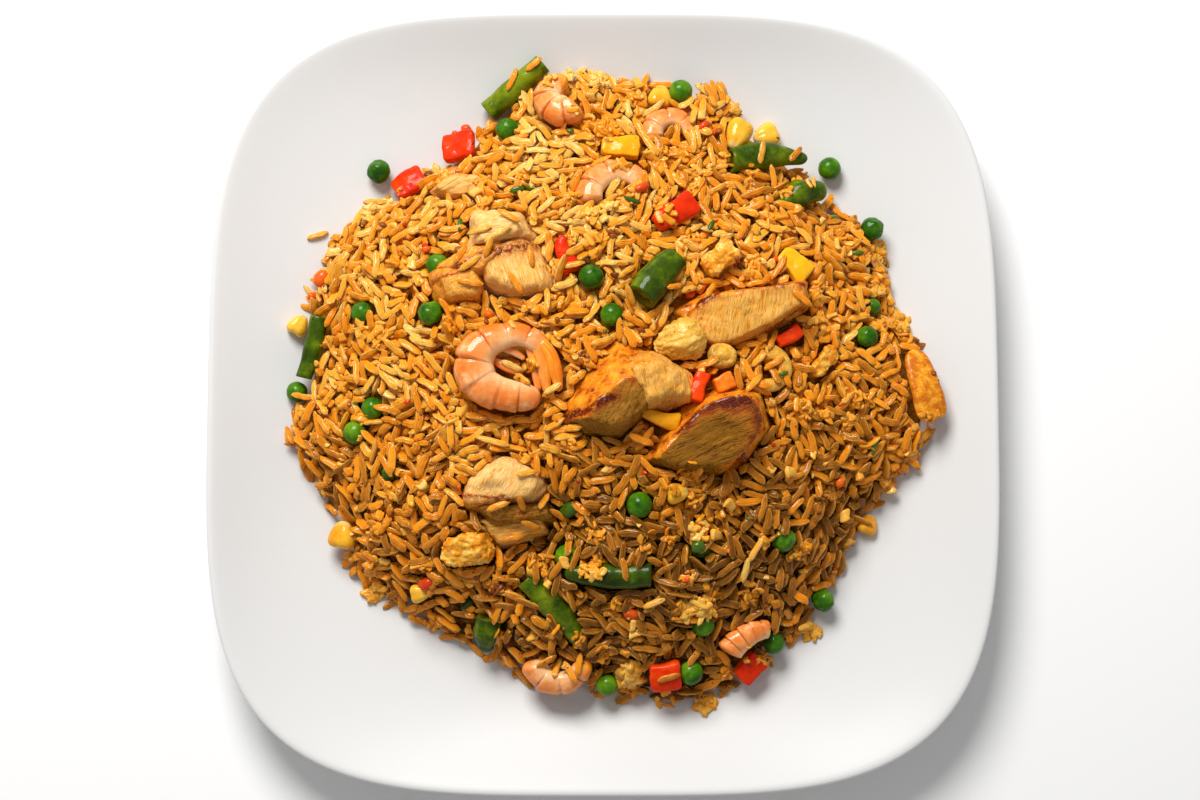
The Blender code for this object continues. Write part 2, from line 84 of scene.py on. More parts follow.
def lattice(ix, iy, iz, seed):
    """Repeatable value from -1 to 1 at whole-number grid points."""
    mixed = (ix * 374761393 + iy * 668265263 + iz * 1442695041 + seed * 1013904223) & 0xFFFFFFFF
    mixed = ((mixed ^ (mixed >> 13)) * 1274126177) & 0xFFFFFFFF
    return ((mixed ^ (mixed >> 16)) & 0xFFFF) / 32767.5 - 1.0


def lumps(points, size, seed):
    """Smooth noise from -1 to 1 at the points, with lumps of that size."""
    scaled = np.asarray(points, float) / size
    base = np.floor(scaled).astype(np.int64)
    part = scaled - base
    part = part * part * (3.0 - 2.0 * part)
    total = np.zeros(len(scaled))
    for corner in range(8):
        step = np.array((corner & 1, (corner >> 1) & 1, corner >> 2))
        weight = np.prod(np.where(step, part, 1.0 - part), axis=1)
        total += weight * lattice(*(base + step).T, seed)
    return total


def rough(points, size, seed, octaves=3):
    """Noise of several sizes, each half as large and half as strong as the one before."""
    total = np.zeros(len(points))
    for octave in range(octaves):
        total += lumps(points, size / 2 ** octave, seed + 17 * octave) / 2 ** octave
    return total


def smooth_through(points, steps):
    """Points of a smooth curve through the given ones, as many steps between each pair."""
    given = np.array(points, float)
    padded = np.vstack([2 * given[0] - given[1], given, 2 * given[-1] - given[-2]])
    rows = []
    for i in range(len(given) - 1):
        p0, p1, p2, p3 = padded[i:i + 4]
        for t in np.linspace(0.0, 1.0, steps, endpoint=False):
            rows.append(0.5 * (2 * p1 + (p2 - p0) * t + (2 * p0 - 5 * p1 + 4 * p2 - p3) * t * t
                               + (3 * p1 - p0 - 3 * p2 + p3) * t ** 3))
    rows.append(given[-1])
    return np.array(rows)


def ring_stretch(radius, angle):
    """How much farther out than a circle a ring of the plate lies in that direction."""
    t = np.clip((radius - WELL_RADIUS) / (PLATE_HALF - WELL_RADIUS), 0.0, 1.0)
    power = 2.0 + (RIM_SQUARENESS - 2.0) * t * t * (3.0 - 2.0 * t)
    return (np.abs(np.cos(angle)) ** power + np.abs(np.sin(angle)) ** power) ** (-1.0 / power)


def plate_floor(x, y):
    """Height of the plate's upper face at arrays of places."""
    distance = np.hypot(x, y)
    angle = np.arctan2(y, x)
    low = np.zeros_like(distance)
    high = np.full_like(distance, PLATE_HALF)
    for _ in range(20):
        middle = (low + high) / 2
        inside = middle * ring_stretch(middle, angle) < distance
        low = np.where(inside, middle, low)
        high = np.where(inside, high, middle)
    upper = smooth_through(UPPER_SIDE, 8)
    return np.interp(low, upper[:, 0], upper[:, 1])


# ---------------------------------------------------------------- meshes

class Gather:
    """Collects shapes, with values on their points, into one piece."""

    def __init__(self):
        self.points = []
        self.faces = []
        self.values = {}
        self.count = 0

    def add(self, points, faces, **values):
        """Take a shape in millimetres; each value is one number or one per point."""
        points = np.asarray(points, float)
        for name in values:
            self.values.setdefault(name, [np.zeros(self.count)] if self.count else [])
        for name, parts in self.values.items():
            value = np.asarray(values.get(name, 0.0), float)
            if value.ndim == 2:
                parts.append(value)
            else:
                parts.append(np.broadcast_to(value, (len(points),)).copy())
        self.faces += [tuple(int(i) + self.count for i in face) for face in faces]
        self.points.append(points)
        self.count += len(points)

    def make(self, name, material, replaced=()):
        """Turn what was gathered into a piece that rides on the plate's body."""
        mesh = bpy.data.meshes.new(name)
        mesh.from_pydata((np.vstack(self.points) * MM).tolist(), [], self.faces)
        mesh.validate()
        for label, parts in self.values.items():
            values = np.concatenate(parts).astype(np.float32)
            kind = "FLOAT_VECTOR" if values.ndim == 2 else "FLOAT"
            layer = mesh.attributes.new(label, kind, "POINT")
            layer.data.foreach_set("vector" if values.ndim == 2 else "value", values.ravel())
        return finish_piece(name, mesh, material, replaced)


def finish_piece(name, mesh, material, replaced=()):
    """Object of a finished mesh, smooth, with its material, on the plate's body."""
    shape = bmesh.new()
    shape.from_mesh(mesh)
    bmesh.ops.recalc_face_normals(shape, faces=shape.faces)
    shape.to_mesh(mesh)
    shape.free()
    mesh.shade_smooth()
    mesh.materials.clear()
    mesh.materials.append(material)
    piece = bpy.data.objects.new(name, mesh)
    bpy.context.scene.collection.objects.link(piece)
    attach(piece, BODY)
    if replaced:
        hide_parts(*replaced)
    return piece


def ball_grid(cuts, known={}):
    """Directions and faces of a ball made from a cube with that many squares along an edge."""
    if cuts not in known:
        shape = bmesh.new()
        bmesh.ops.create_cube(shape, size=2.0)
        bmesh.ops.subdivide_edges(shape, edges=shape.edges, cuts=cuts - 1, use_grid_fill=True)
        points = np.array([vertex.co for vertex in shape.verts])
        points = np.tan(points * math.pi / 4)
        points /= np.linalg.norm(points, axis=1)[:, None]
        known[cuts] = (points, [tuple(v.index for v in face.verts) for face in shape.faces])
        shape.free()
    points, faces = known[cuts]
    return points.copy(), faces


def outward(points, faces):
    """Unit normals at the points of a closed shape made of four-sided faces."""
    corners = points[np.array(faces)]
    across = np.cross(corners[:, 2] - corners[:, 0], corners[:, 3] - corners[:, 1])
    total = np.zeros_like(points)
    for i in range(4):
        np.add.at(total, np.array(faces)[:, i], across)
    length = np.linalg.norm(total, axis=1)[:, None]
    normals = total / np.maximum(length, 1e-12)
    middle = points.mean(axis=0)
    if np.sum(normals * (points - middle)) < 0:
        normals = -normals
    return normals


def tube(path, sides, widths, heights, ups, round_ends=(True, True)):
    """Closed tube along a path. Returns points, faces, and each point's place along and around."""
    path = np.asarray(path, float)
    ahead = np.gradient(path, axis=0)
    ahead /= np.linalg.norm(ahead, axis=1)[:, None]
    side = np.cross(ups, ahead)
    side /= np.linalg.norm(side, axis=1)[:, None]
    up = np.cross(ahead, side)
    count = len(path)
    angles = np.arange(sides) * 2 * math.pi / sides
    points = []
    for i in range(count):
        ring = (path[i] + np.outer(np.cos(angles) * widths[i], side[i])
                + np.outer(np.sin(angles) * heights[i], up[i]))
        points.append(ring)
    points = np.vstack(points + [path[:1], path[-1:]])
    faces = []
    for i in range(count - 1):
        for j in range(sides):
            k = (j + 1) % sides
            faces.append((i * sides + j, i * sides + k, (i + 1) * sides + k, (i + 1) * sides + j))
    for j in range(sides):
        k = (j + 1) % sides
        faces.append((count * sides, k, j))
        last = (count - 1) * sides
        faces.append((count * sides + 1, last + j, last + k))
    along = np.concatenate([np.repeat(np.linspace(0, 1, count), sides), [0.0, 1.0]])
    around = np.concatenate([np.tile(angles, count), [0.0, 0.0]])
    return points, faces, along, around


def cut_block(cuts, size, planes, sharpness=9.0):
    """Block bounded by planes (normal, distance, mark), with worn edges.

    Returns its points, its faces and, at each point, the mark of the planes it lies on, first
    sharp and then blended widely across the edges."""
    directions, faces = ball_grid(cuts)
    directions = directions * np.array(size)
    directions /= np.linalg.norm(directions, axis=1)[:, None]
    pull = []
    marks = []
    for normal, distance, mark in planes:
        normal = np.array(normal, float)
        pull.append((np.maximum(directions @ normal, 0.0) / distance) ** sharpness)
        marks.append(mark)
    pull = np.array(pull)
    total = pull.sum(axis=0)
    points = directions * (total ** (-1.0 / sharpness))[:, None]
    marks = np.array(marks)[:, None]
    wide = pull ** (2.2 / sharpness)
    return points, faces, (marks * pull).sum(axis=0) / total, (marks * wide).sum(axis=0) / wide.sum(axis=0)


def outline_planes(outline, base, leans, marks):
    """Side planes of a block from its outline seen from above; a lean spreads the wall outward."""
    corners = np.array(outline, float)
    middle = corners.mean(axis=0)
    planes = []
    for i, corner in enumerate(corners):
        after = corners[(i + 1) % len(corners)]
        normal = np.array((after[1] - corner[1], corner[0] - after[0]))
        normal /= np.linalg.norm(normal)
        if normal @ (corner - middle) < 0:
            normal = -normal
        distance = max(normal @ corner, 0.8)
        planes.append(((normal[0], normal[1], leans[i]), distance + base * leans[i], marks[i]))
    return planes


# ---------------------------------------------------------------- node helpers

def add(tree, kind, values=None, **settings):
    """New node with its settings, and its inputs set to values or joined to sockets."""
    node = tree.nodes.new(kind)
    for key, value in settings.items():
        setattr(node, key, value)
    for key, value in (values or {}).items():
        if isinstance(value, bpy.types.NodeSocket):
            tree.links.new(value, node.inputs[key])
        else:
            node.inputs[key].default_value = value
    return node


def sums(tree, operation, a, b=0.0, clamp=False):
    """Output of a Math node."""
    return add(tree, "ShaderNodeMath", {0: a, 1: b}, operation=operation, use_clamp=clamp).outputs[0]


def blend(tree, share, a, b, blend_type="MIX"):
    """Colour between two others."""
    node = add(tree, "ShaderNodeMix", {0: share, 6: a, 7: b}, data_type="RGBA", blend_type=blend_type)
    return node.outputs[2]


def spread(tree, value, low, high, to_low=0.0, to_high=1.0):
    """Value stretched from one range to another, held inside the second."""
    node = add(tree, "ShaderNodeMapRange", {0: value, 1: low, 2: high, 3: to_low, 4: to_high})
    return node.outputs[0]


def ramp(tree, value, stops):
    """Colour from a value, through (place, colour) stops."""
    node = add(tree, "ShaderNodeValToRGB", {0: value})
    band = node.color_ramp
    while len(band.elements) < len(stops):
        band.elements.new(0.5)
    for element, (place, colour) in zip(band.elements, stops):
        element.position = place
        element.color = (*colour, 1.0)
    return node.outputs[0]


def grain_noise(tree, where, scale, detail=2.0, roughness=0.5, distortion=0.0):
    """Output of a Noise Texture."""
    node = add(tree, "ShaderNodeTexNoise", {"Vector": where, "Scale": scale, "Detail": detail,
                                            "Roughness": roughness, "Distortion": distortion})
    return node.outputs[0]


def point_value(tree, name, vector=False):
    """A value stored on the points of a piece."""
    node = add(tree, "ShaderNodeAttribute", attribute_name=name)
    return node.outputs["Vector" if vector else "Fac"]


def place_on_piece(tree):
    """Object coordinates."""
    return add(tree, "ShaderNodeTexCoord").outputs["Object"]


def shared_group(name, inputs, outputs):
    """Shader node group with its sockets, and its input and output nodes."""
    tree = bpy.data.node_groups.new(name, "ShaderNodeTree")
    for label, kind, value in inputs:
        socket = tree.interface.new_socket(name=label, in_out="INPUT", socket_type=kind)
        if value is not None:
            socket.default_value = value
    for label, kind in outputs:
        tree.interface.new_socket(name=label, in_out="OUTPUT", socket_type=kind)
    return tree, tree.nodes.new("NodeGroupInput"), tree.nodes.new("NodeGroupOutput")


def mottle_group():
    """Uneven patches of two sizes, from 0 to 1."""
    found = bpy.data.node_groups.get("Mottle")
    if found:
        return found
    tree, given, made = shared_group(
        "Mottle", (("Vector", "NodeSocketVector", None), ("Scale", "NodeSocketFloat", 200.0),
                   ("Contrast", "NodeSocketFloat", 2.0)), (("Mask", "NodeSocketFloat"),))
    broad = grain_noise(tree, given.outputs["Vector"], given.outputs["Scale"], 2.0)
    finer = sums(tree, "MULTIPLY", given.outputs["Scale"], 3.7)
    fine = grain_noise(tree, given.outputs["Vector"], finer, 3.0, 0.6)
    both = sums(tree, "ADD", sums(tree, "MULTIPLY", broad, 0.65), sums(tree, "MULTIPLY", fine, 0.35))
    centred = sums(tree, "MULTIPLY", sums(tree, "SUBTRACT", both, 0.5), given.outputs["Contrast"])
    tree.links.new(sums(tree, "ADD", centred, 0.5, clamp=True), made.inputs["Mask"])
    return tree


def oil_group():
    """Patches of cooking oil: a coat where it lies, and a roughness that falls there."""
    found = bpy.data.node_groups.get("Oil Film")
    if found:
        return found
    tree, given, made = shared_group(
        "Oil Film", (("Vector", "NodeSocketVector", None), ("Scale", "NodeSocketFloat", 150.0),
                     ("Dry", "NodeSocketFloat", 0.5), ("Wet", "NodeSocketFloat", 0.25)),
        (("Coat", "NodeSocketFloat"), ("Roughness", "NodeSocketFloat")))
    patch = grain_noise(tree, given.outputs["Vector"], given.outputs["Scale"], 3.0, 0.55)
    wet = spread(tree, patch, 0.35, 0.62)
    tree.links.new(wet, made.inputs["Coat"])
    mixed = add(tree, "ShaderNodeMix", {0: wet, 2: given.outputs["Dry"], 3: given.outputs["Wet"]})
    tree.links.new(mixed.outputs[0], made.inputs["Roughness"])
    return tree


def relief_group():
    """Fine relief of two sizes as a normal; the height is in metres."""
    found = bpy.data.node_groups.get("Fine Relief")
    if found:
        return found
    tree, given, made = shared_group(
        "Fine Relief", (("Vector", "NodeSocketVector", None), ("Scale", "NodeSocketFloat", 800.0),
                        ("Height", "NodeSocketFloat", 0.0002)), (("Normal", "NodeSocketVector"),))
    broad = grain_noise(tree, given.outputs["Vector"], given.outputs["Scale"], 3.0, 0.6)
    bump = add(tree, "ShaderNodeBump", {"Strength": 1.0, "Distance": given.outputs["Height"],
                                        "Height": broad})
    tree.links.new(bump.outputs[0], made.inputs["Normal"])
    return tree


def placed(tree, group, **values):
    """A shared group placed in a material, with its own values."""
    node = tree.nodes.new("ShaderNodeGroup")
    node.node_tree = group
    for key, value in values.items():
        if isinstance(value, bpy.types.NodeSocket):
            tree.links.new(value, node.inputs[key])
        else:
            node.inputs[key].default_value = value
    return node.outputs


def new_finish(name, roughness=0.45, coat=0.0, coat_roughness=0.12, sheen_through=0.0, depth=0.001):
    """Material with a Principled shader, its tree and its Object coordinates."""
    made = bpy.data.materials.new(name)
    made.use_nodes = True
    tree = made.node_tree
    shader = tree.nodes["Principled BSDF"]
    shader.inputs["Roughness"].default_value = roughness
    shader.inputs["Coat Weight"].default_value = coat
    shader.inputs["Coat Roughness"].default_value = coat_roughness
    shader.inputs["Subsurface Weight"].default_value = sheen_through
    shader.inputs["Subsurface Scale"].default_value = depth
    shader.inputs["Subsurface Radius"].default_value = (1.0, 0.45, 0.12)
    shader.inputs["Specular IOR Level"].default_value = 0.07
    return made, tree, shader.inputs, place_on_piece(tree)


def join(tree, socket, target):
    """Link an output to an input."""
    tree.links.new(socket, target)


def glaze_finish(colour, roughness):
    """White glaze with a faint unevenness of gloss."""
    made, tree, shader, where = new_finish("white_glaze", roughness, coat=0.15, coat_roughness=0.25)
    patch = placed(tree, mottle_group(), Vector=where, Scale=22.0, Contrast=1.2)["Mask"]
    warmer = (colour[0] * 0.985, colour[1] * 0.975, colour[2] * 0.96, 1.0)
    join(tree, blend(tree, patch, (*colour, 1.0), warmer), shader["Base Color"])
    join(tree, spread(tree, patch, 0.0, 1.0, roughness * 0.8, roughness * 1.3), shader["Roughness"])
    join(tree, placed(tree, relief_group(), Vector=where, Scale=60.0, Height=0.00006)["Normal"],
         shader["Normal"])
    return made


def grain_finish(pale, gold, brown, oil):
    """Cooked rice, from pale to brown with sauce and with painted shade, and a paler rim round each grain that is
    partly its own translucent edge and partly a painted highlight.
    """
    made, tree, shader, where = new_finish("rice_grain", 0.42, coat=oil, coat_roughness=0.09,
                                           sheen_through=0.24, depth=0.0010)
    inside = point_value(tree, "inside", True)
    own = add(tree, "ShaderNodeVectorMath", {0: inside, 1: (0.7, 1.5, 1.5)}, operation="MULTIPLY").outputs[0]
    own = add(tree, "ShaderNodeVectorMath", {0: own, 1: where}, operation="ADD").outputs[0]
    streak = grain_noise(tree, own, 1.3, 2.0, 0.6)
    patch = placed(tree, mottle_group(), Vector=where, Scale=300.0, Contrast=2.0)["Mask"]
    patch = sums(tree, "ADD", sums(tree, "MULTIPLY", patch, 0.5),
                 spread(tree, streak, 0.32, 0.68, 0.0, 0.5))
    # The shade mixes random patches and tint with the stored value of sauce and painted shade, so its dark end is
    # painted shade as well as sauce.
    shade = sums(tree, "ADD", sums(tree, "MULTIPLY", patch, 0.30),
                 sums(tree, "MULTIPLY", point_value(tree, "tint"), 0.50))
    shade = sums(tree, "ADD", shade, sums(tree, "MULTIPLY", point_value(tree, "stain"), 0.66))
    shade = sums(tree, "SUBTRACT", shade, 0.10, clamp=True)
    deep = tuple(channel * 0.40 for channel in brown)
    centre = ramp(tree, shade, ((0.0, (0.99, 0.56, 0.10)), (0.15, pale), (0.42, gold), (0.76, brown),
                                (1.0, deep)))
    # The paler edge colours along each grain's sides and ends are partly a painted highlight.
    edge = ramp(tree, shade, ((0.0, (1.0, 0.70, 0.26)), (0.42, (0.99, 0.46, 0.05)),
                              (0.76, (0.90, 0.42, 0.055)), (1.0, (0.66, 0.28, 0.025))))
    parts = add(tree, "ShaderNodeSeparateXYZ", {0: inside}).outputs
    beside = spread(tree, sums(tree, "ABSOLUTE", parts[1]), 0.50, 0.88)
    ends = spread(tree, sums(tree, "ABSOLUTE", parts[0]), 0.84, 1.0)
    rim = sums(tree, "MULTIPLY", sums(tree, "MAXIMUM", beside, ends), spread(tree, streak, 0.3, 0.6, 0.45, 1.0))
    join(tree, blend(tree, rim, centre, edge), shader["Base Color"])
    film = placed(tree, oil_group(), Vector=where, Scale=260.0, Dry=0.6, Wet=0.34)
    join(tree, film["Roughness"], shader["Roughness"])
    rise = sums(tree, "ADD", streak, sums(tree, "MULTIPLY", rim, 0.35))
    bump = add(tree, "ShaderNodeBump", {"Strength": 1.0, "Distance": 0.0007, "Height": rise})
    join(tree, bump.outputs[0], shader["Normal"])
    return made


def core_finish(brown):
    """Rice seen deep between the grains, painted darker than the loose grains as the shade down there, and browner
    where stained with sauce.
    """
    made, tree, shader, where = new_finish("rice_depth", 0.6, coat=0.03, coat_roughness=0.25)
    patch = placed(tree, mottle_group(), Vector=where, Scale=330.0, Contrast=2.6)["Mask"]
    shade = sums(tree, "SUBTRACT", sums(tree, "ADD", patch, 0.35),
                 sums(tree, "MULTIPLY", point_value(tree, "stain"), 0.9), clamp=True)
    # The dark end, a tenth of the brown, is painted shade in the gaps between the grains.
    dark, middle = (tuple(channel * part for channel in brown) for part in (0.10, 0.85))
    join(tree, ramp(tree, shade, ((0.1, dark), (0.9, middle))), shader["Base Color"])
    cells = add(tree, "ShaderNodeTexVoronoi", {"Vector": where, "Scale": 380.0, "Randomness": 1.0})
    bump = add(tree, "ShaderNodeBump", {"Strength": 1.0, "Distance": 0.0012, "Height": cells.outputs[0]})
    join(tree, bump.outputs[0], shader["Normal"])
    return made


def skin_finish(name, colours, scale, contrast=2.4, roughness=(0.30, 0.16), coat=0.8,
                coat_roughness=0.08, glow=0.08, relief=0.0001, relief_scale=700.0, spot=None):
    """Moist skin of a vegetable: colours in patches, a wet film, and fine relief.

    The value called inner, where a piece has it, shows the paler cut flesh; spot is its colour."""
    made, tree, shader, where = new_finish(name, roughness[0], coat, coat_roughness, glow, 0.0015)
    patch = placed(tree, mottle_group(), Vector=where, Scale=scale, Contrast=contrast)["Mask"]
    vary = sums(tree, "MULTIPLY", sums(tree, "SUBTRACT", point_value(tree, "tint"), 0.5), 0.5)
    stops = tuple((i / (len(colours) - 1), colour) for i, colour in enumerate(colours))
    colour = ramp(tree, sums(tree, "ADD", patch, vary, clamp=True), stops)
    if spot:
        colour = blend(tree, point_value(tree, "inner"), colour, (*spot, 1.0))
    join(tree, colour, shader["Base Color"])
    film = placed(tree, oil_group(), Vector=where, Scale=scale * 0.8, Dry=roughness[0], Wet=roughness[1])
    join(tree, film["Roughness"], shader["Roughness"])
    join(tree, placed(tree, relief_group(), Vector=where, Scale=relief_scale, Height=relief)["Normal"],
         shader["Normal"])
    return made


def shrimp_finish(flesh, band):
    """Cooked shrimp: pale flesh, orange bands on the back and an orange tail."""
    made, tree, shader, where = new_finish("shrimp_flesh", 0.34, coat=0.7, coat_roughness=0.10,
                                           sheen_through=0.12, depth=0.0012)
    back = point_value(tree, "back")
    seam = point_value(tree, "seam")
    tail = point_value(tree, "tail")
    patch = placed(tree, mottle_group(), Vector=where, Scale=170.0, Contrast=2.2)["Mask"]
    veins = grain_noise(tree, point_value(tree, "strand", True), 1.1, 3.0, 0.65, 0.6)
    wash = sums(tree, "MULTIPLY", back, spread(tree, patch, 0.20, 0.80, 0.10, 1.15))
    streaks = sums(tree, "MULTIPLY", spread(tree, veins, 0.52, 0.66), back)
    share = sums(tree, "MAXIMUM", wash, sums(tree, "MULTIPLY", streaks, 0.7))
    inner = tuple(min(f * g, 1.0) for f, g in zip(flesh, (1.02, 1.75, 3.2)))
    colour = ramp(tree, share, ((0.0, inner), (0.36, flesh), (0.95, band)))
    lines = sums(tree, "MULTIPLY", seam, spread(tree, patch, 0.1, 0.4, 0.7, 1.4), clamp=True)
    crease = tuple(b * g for b, g in zip(band, (0.62, 0.45, 0.3)))
    colour = blend(tree, lines, colour, (*crease, 1.0))
    hot = ramp(tree, veins, ((0.3, (0.98, 0.42, 0.03)), (0.6, (0.94, 0.22, 0.006))))
    join(tree, blend(tree, tail, colour, hot), shader["Base Color"])
    film = placed(tree, oil_group(), Vector=where, Scale=220.0, Dry=0.42, Wet=0.2)
    join(tree, film["Roughness"], shader["Roughness"])
    bump = add(tree, "ShaderNodeBump", {"Strength": 1.0, "Distance": 0.0002, "Height": veins})
    join(tree, bump.outputs[0], shader["Normal"])
    return made


def chicken_finish(flesh, glaze):
    """Chicken: fibrous cut faces, pale or tan, and seared faces under a sticky glaze."""
    made, tree, shader, where = new_finish("chicken_meat", 0.5, coat=0.0, coat_roughness=0.10,
                                           sheen_through=0.06, depth=0.0015)
    sear = point_value(tree, "sear")
    run = point_value(tree, "fibre", True)
    fibres = grain_noise(tree, run, 1.0, 4.0, 0.65, 0.35)
    lines = grain_noise(tree, run, 2.2, 2.0, 0.6, 0.2)
    grain = sums(tree, "ADD", sums(tree, "MULTIPLY", fibres, 0.55), sums(tree, "MULTIPLY", lines, 0.45))
    patch = placed(tree, mottle_group(), Vector=where, Scale=260.0, Contrast=3.0)["Mask"]
    spots = grain_noise(tree, where, 900.0, 3.0, 0.7)
    lighter = tuple(min(channel * factor, 1.0) for channel, factor in zip(flesh, (1.45, 1.45, 1.3)))
    dark = tuple(channel * factor for channel, factor in zip(flesh, (0.42, 0.34, 0.25)))
    tan = ramp(tree, grain, ((0.40, dark), (0.46, flesh), (0.62, lighter)))
    pale = ramp(tree, grain, ((0.36, (0.62, 0.17, 0.008)), (0.44, (0.95, 0.41, 0.045)), (0.62, (1.0, 0.60, 0.17))))
    whiteness = point_value(tree, "pale")
    meat = blend(tree, whiteness, tan, pale)
    white = ramp(tree, grain, ((0.36, (0.84, 0.36, 0.05)), (0.45, (0.98, 0.62, 0.22)), (0.6, (1.0, 0.80, 0.46))))
    meat = blend(tree, sums(tree, "SUBTRACT", whiteness, 1.0, clamp=True), meat, white)
    crust = ramp(tree, patch, ((0.04, (0.22, 0.030, 0.003)), (0.22, (0.62, 0.13, 0.005)), (0.45, glaze),
                               (0.9, (0.95, 0.42, 0.025))))
    edge = sums(tree, "ADD", sear, sums(tree, "MULTIPLY", sums(tree, "SUBTRACT", spots, 0.5), 0.9))
    share = spread(tree, edge, 0.32, 0.60)
    seared = blend(tree, share, meat, crust)
    scorch = point_value(tree, "scorch")
    char = sums(tree, "MULTIPLY", scorch, spread(tree, spots, 0.38, 0.56, 0.4, 1.8), clamp=True)
    burnt = ramp(tree, scorch, ((0.2, (0.72, 0.19, 0.007)), (0.45, (0.42, 0.060, 0.002)), (0.8, (0.13, 0.009, 0.001))))
    join(tree, blend(tree, char, seared, burnt), shader["Base Color"])
    film = placed(tree, oil_group(), Vector=where, Scale=200.0, Dry=0.5, Wet=0.24)
    join(tree, film["Roughness"], shader["Roughness"])
    join(tree, spread(tree, sums(tree, "MAXIMUM", share, char), 0.0, 1.0, 0.08, 0.50), shader["Coat Weight"])
    rise = sums(tree, "ADD", sums(tree, "MULTIPLY", grain, 1.9), sums(tree, "MULTIPLY", spots, 0.4))
    bump = add(tree, "ShaderNodeBump", {"Strength": 1.0, "Distance": 0.0005, "Height": rise})
    join(tree, bump.outputs[0], shader["Normal"])
    return made


# ---------------------------------------------------------------- what the loose food rests on

class Bed:
    """Heights in millimetres, on a square grid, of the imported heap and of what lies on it."""

    HALF = 126.0
    CELL = 0.5

    def __init__(self):
        count = int(2 * self.HALF / self.CELL)
        middles = (np.arange(count) + 0.5) * self.CELL - self.HALF
        self.x, self.y = np.meshgrid(middles, middles)
        self.floor = plate_floor(self.x.ravel(), self.y.ravel()).reshape(self.x.shape)
        self.rice = self.smooth_heap()
        self.rim = heap_outline()
        self.height = self.floor.copy()

    def cell(self, x, y):
        """Grid cell of a place."""
        count = len(self.x)
        ix = np.clip(((np.asarray(x) + self.HALF) / self.CELL).astype(int), 0, count - 1)
        iy = np.clip(((np.asarray(y) + self.HALF) / self.CELL).astype(int), 0, count - 1)
        return iy, ix

    def smooth_heap(self):
        """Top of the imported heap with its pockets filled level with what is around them."""
        heap = cast_down(self, node_tree("rice_heap"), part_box("rice_heap"), 2)
        hidden = np.zeros(heap.shape, bool)
        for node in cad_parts:
            if node not in ("plate", "rice_heap"):
                hidden |= np.isfinite(cast_down(self, node_tree(node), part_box(node), 2))
        hidden = wide_mean(hidden.astype(float), 4) > 0.02
        outside = ~np.isfinite(heap)
        fixed = outside | ~hidden
        level = np.where(outside, self.floor, np.where(hidden, 0.0, np.nan_to_num(heap)))
        known = (~outside & ~hidden).astype(float)
        guess = wide_mean(level * known, 44) / np.maximum(wide_mean(known, 44), 1e-6)
        level = np.where(fixed, level, guess)
        for reach in (10,) * 40 + (4,) * 30 + (2,) * 20:
            level = np.where(fixed, level, wide_mean(level, reach))
        return np.maximum(level, self.floor)

    def lean(self, x, y, span, share=0.7, most=0.42):
        """Rotation that tips +Z part of the way to the slope of the rice."""
        def level(px, py):
            iy, ix = self.cell(px, py)
            return float(self.rice[iy, ix])
        slope = Vector((level(x - span, y) - level(x + span, y), level(x, y - span) - level(x, y + span)))
        slope *= share / (2 * span)
        if slope.length > most:
            slope *= most / slope.length
        turn = Vector((0, 0, 1)).rotation_difference((slope.x, slope.y, 1.0))
        return np.array(turn.to_matrix())

    def cover(self, piece):
        """Raise the heights to a piece's upper side and return the cells that it covers."""
        mesh = piece.data
        points = np.zeros(len(mesh.vertices) * 3)
        mesh.vertices.foreach_get("co", points)
        points = points.reshape(-1, 3)
        tree = BVHTree.FromPolygons([tuple(p) for p in points], [tuple(f.vertices) for f in mesh.polygons])
        top = cast_down(self, tree, (points.min(axis=0), points.max(axis=0)), 1, points)
        covered = np.isfinite(top)
        self.height = np.where(covered, np.fmax(self.height, top), self.height)
        return covered


def wide_mean(values, reach):
    """Mean over a square of cells around each cell."""
    padded = np.pad(values, reach, mode="edge")
    size = 2 * reach + 1
    rows = np.cumsum(np.pad(padded, ((1, 0), (0, 0))), axis=0)
    rows = (rows[size:] - rows[:-size]) / size
    columns = np.cumsum(np.pad(rows, ((0, 0), (1, 0))), axis=1)
    return (columns[:, size:] - columns[:, :-size]) / size


def node_tree(node):
    """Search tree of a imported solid."""
    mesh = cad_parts[node].data
    return BVHTree.FromPolygons([v.co[:] for v in mesh.vertices], [f.vertices[:] for f in mesh.polygons])


def cast_down(bed, tree, corners, step, near=None):
    """Heights at which rays from above meet a shape, over the bed's grid; NaN where they miss."""
    low, high = np.array(corners[0]) / MM, np.array(corners[1]) / MM
    (y0, x0), (y1, x1) = bed.cell(low[0] - 1, low[1] - 1), bed.cell(high[0] + 1, high[1] + 1)
    top = np.full(bed.x.shape, np.nan)
    wanted = np.ones(bed.x.shape, bool)
    if near is not None:
        wanted[:] = False
        iy, ix = bed.cell(near[:, 0] / MM, near[:, 1] / MM)
        wanted[iy, ix] = True
        wanted = wide_mean(wanted.astype(float), 3) > 0
    start = (high[2] + 5.0) * MM
    down = Vector((0.0, 0.0, -1.0))
    for iy in range(int(y0), int(y1) + 1, step):
        for ix in range(int(x0), int(x1) + 1, step):
            if not wanted[iy, ix]:
                continue
            hit = tree.ray_cast(Vector((bed.x[iy, ix] * MM, bed.y[iy, ix] * MM, start)), down)[0]
            if hit is not None:
                top[iy:iy + step, ix:ix + step] = hit.z / MM
    return top


def heap_outline():
    """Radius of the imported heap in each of 92 directions, from its solid's points."""
    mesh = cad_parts["rice_heap"].data
    points = np.array([v.co[:] for v in mesh.vertices]) / MM
    angle = np.arctan2(points[:, 1], points[:, 0])
    distance = np.hypot(points[:, 0], points[:, 1])
    sectors = 46
    index = np.round(angle / (2 * math.pi) * sectors).astype(int) % sectors
    rim = np.zeros(sectors)
    np.maximum.at(rim, index, distance)
    turns = np.arange(sectors + 1) * 2 * math.pi / sectors
    closed = np.append(rim, rim[0])
    fine = np.arange(184) * 2 * math.pi / 184
    return np.interp(fine, turns, closed)


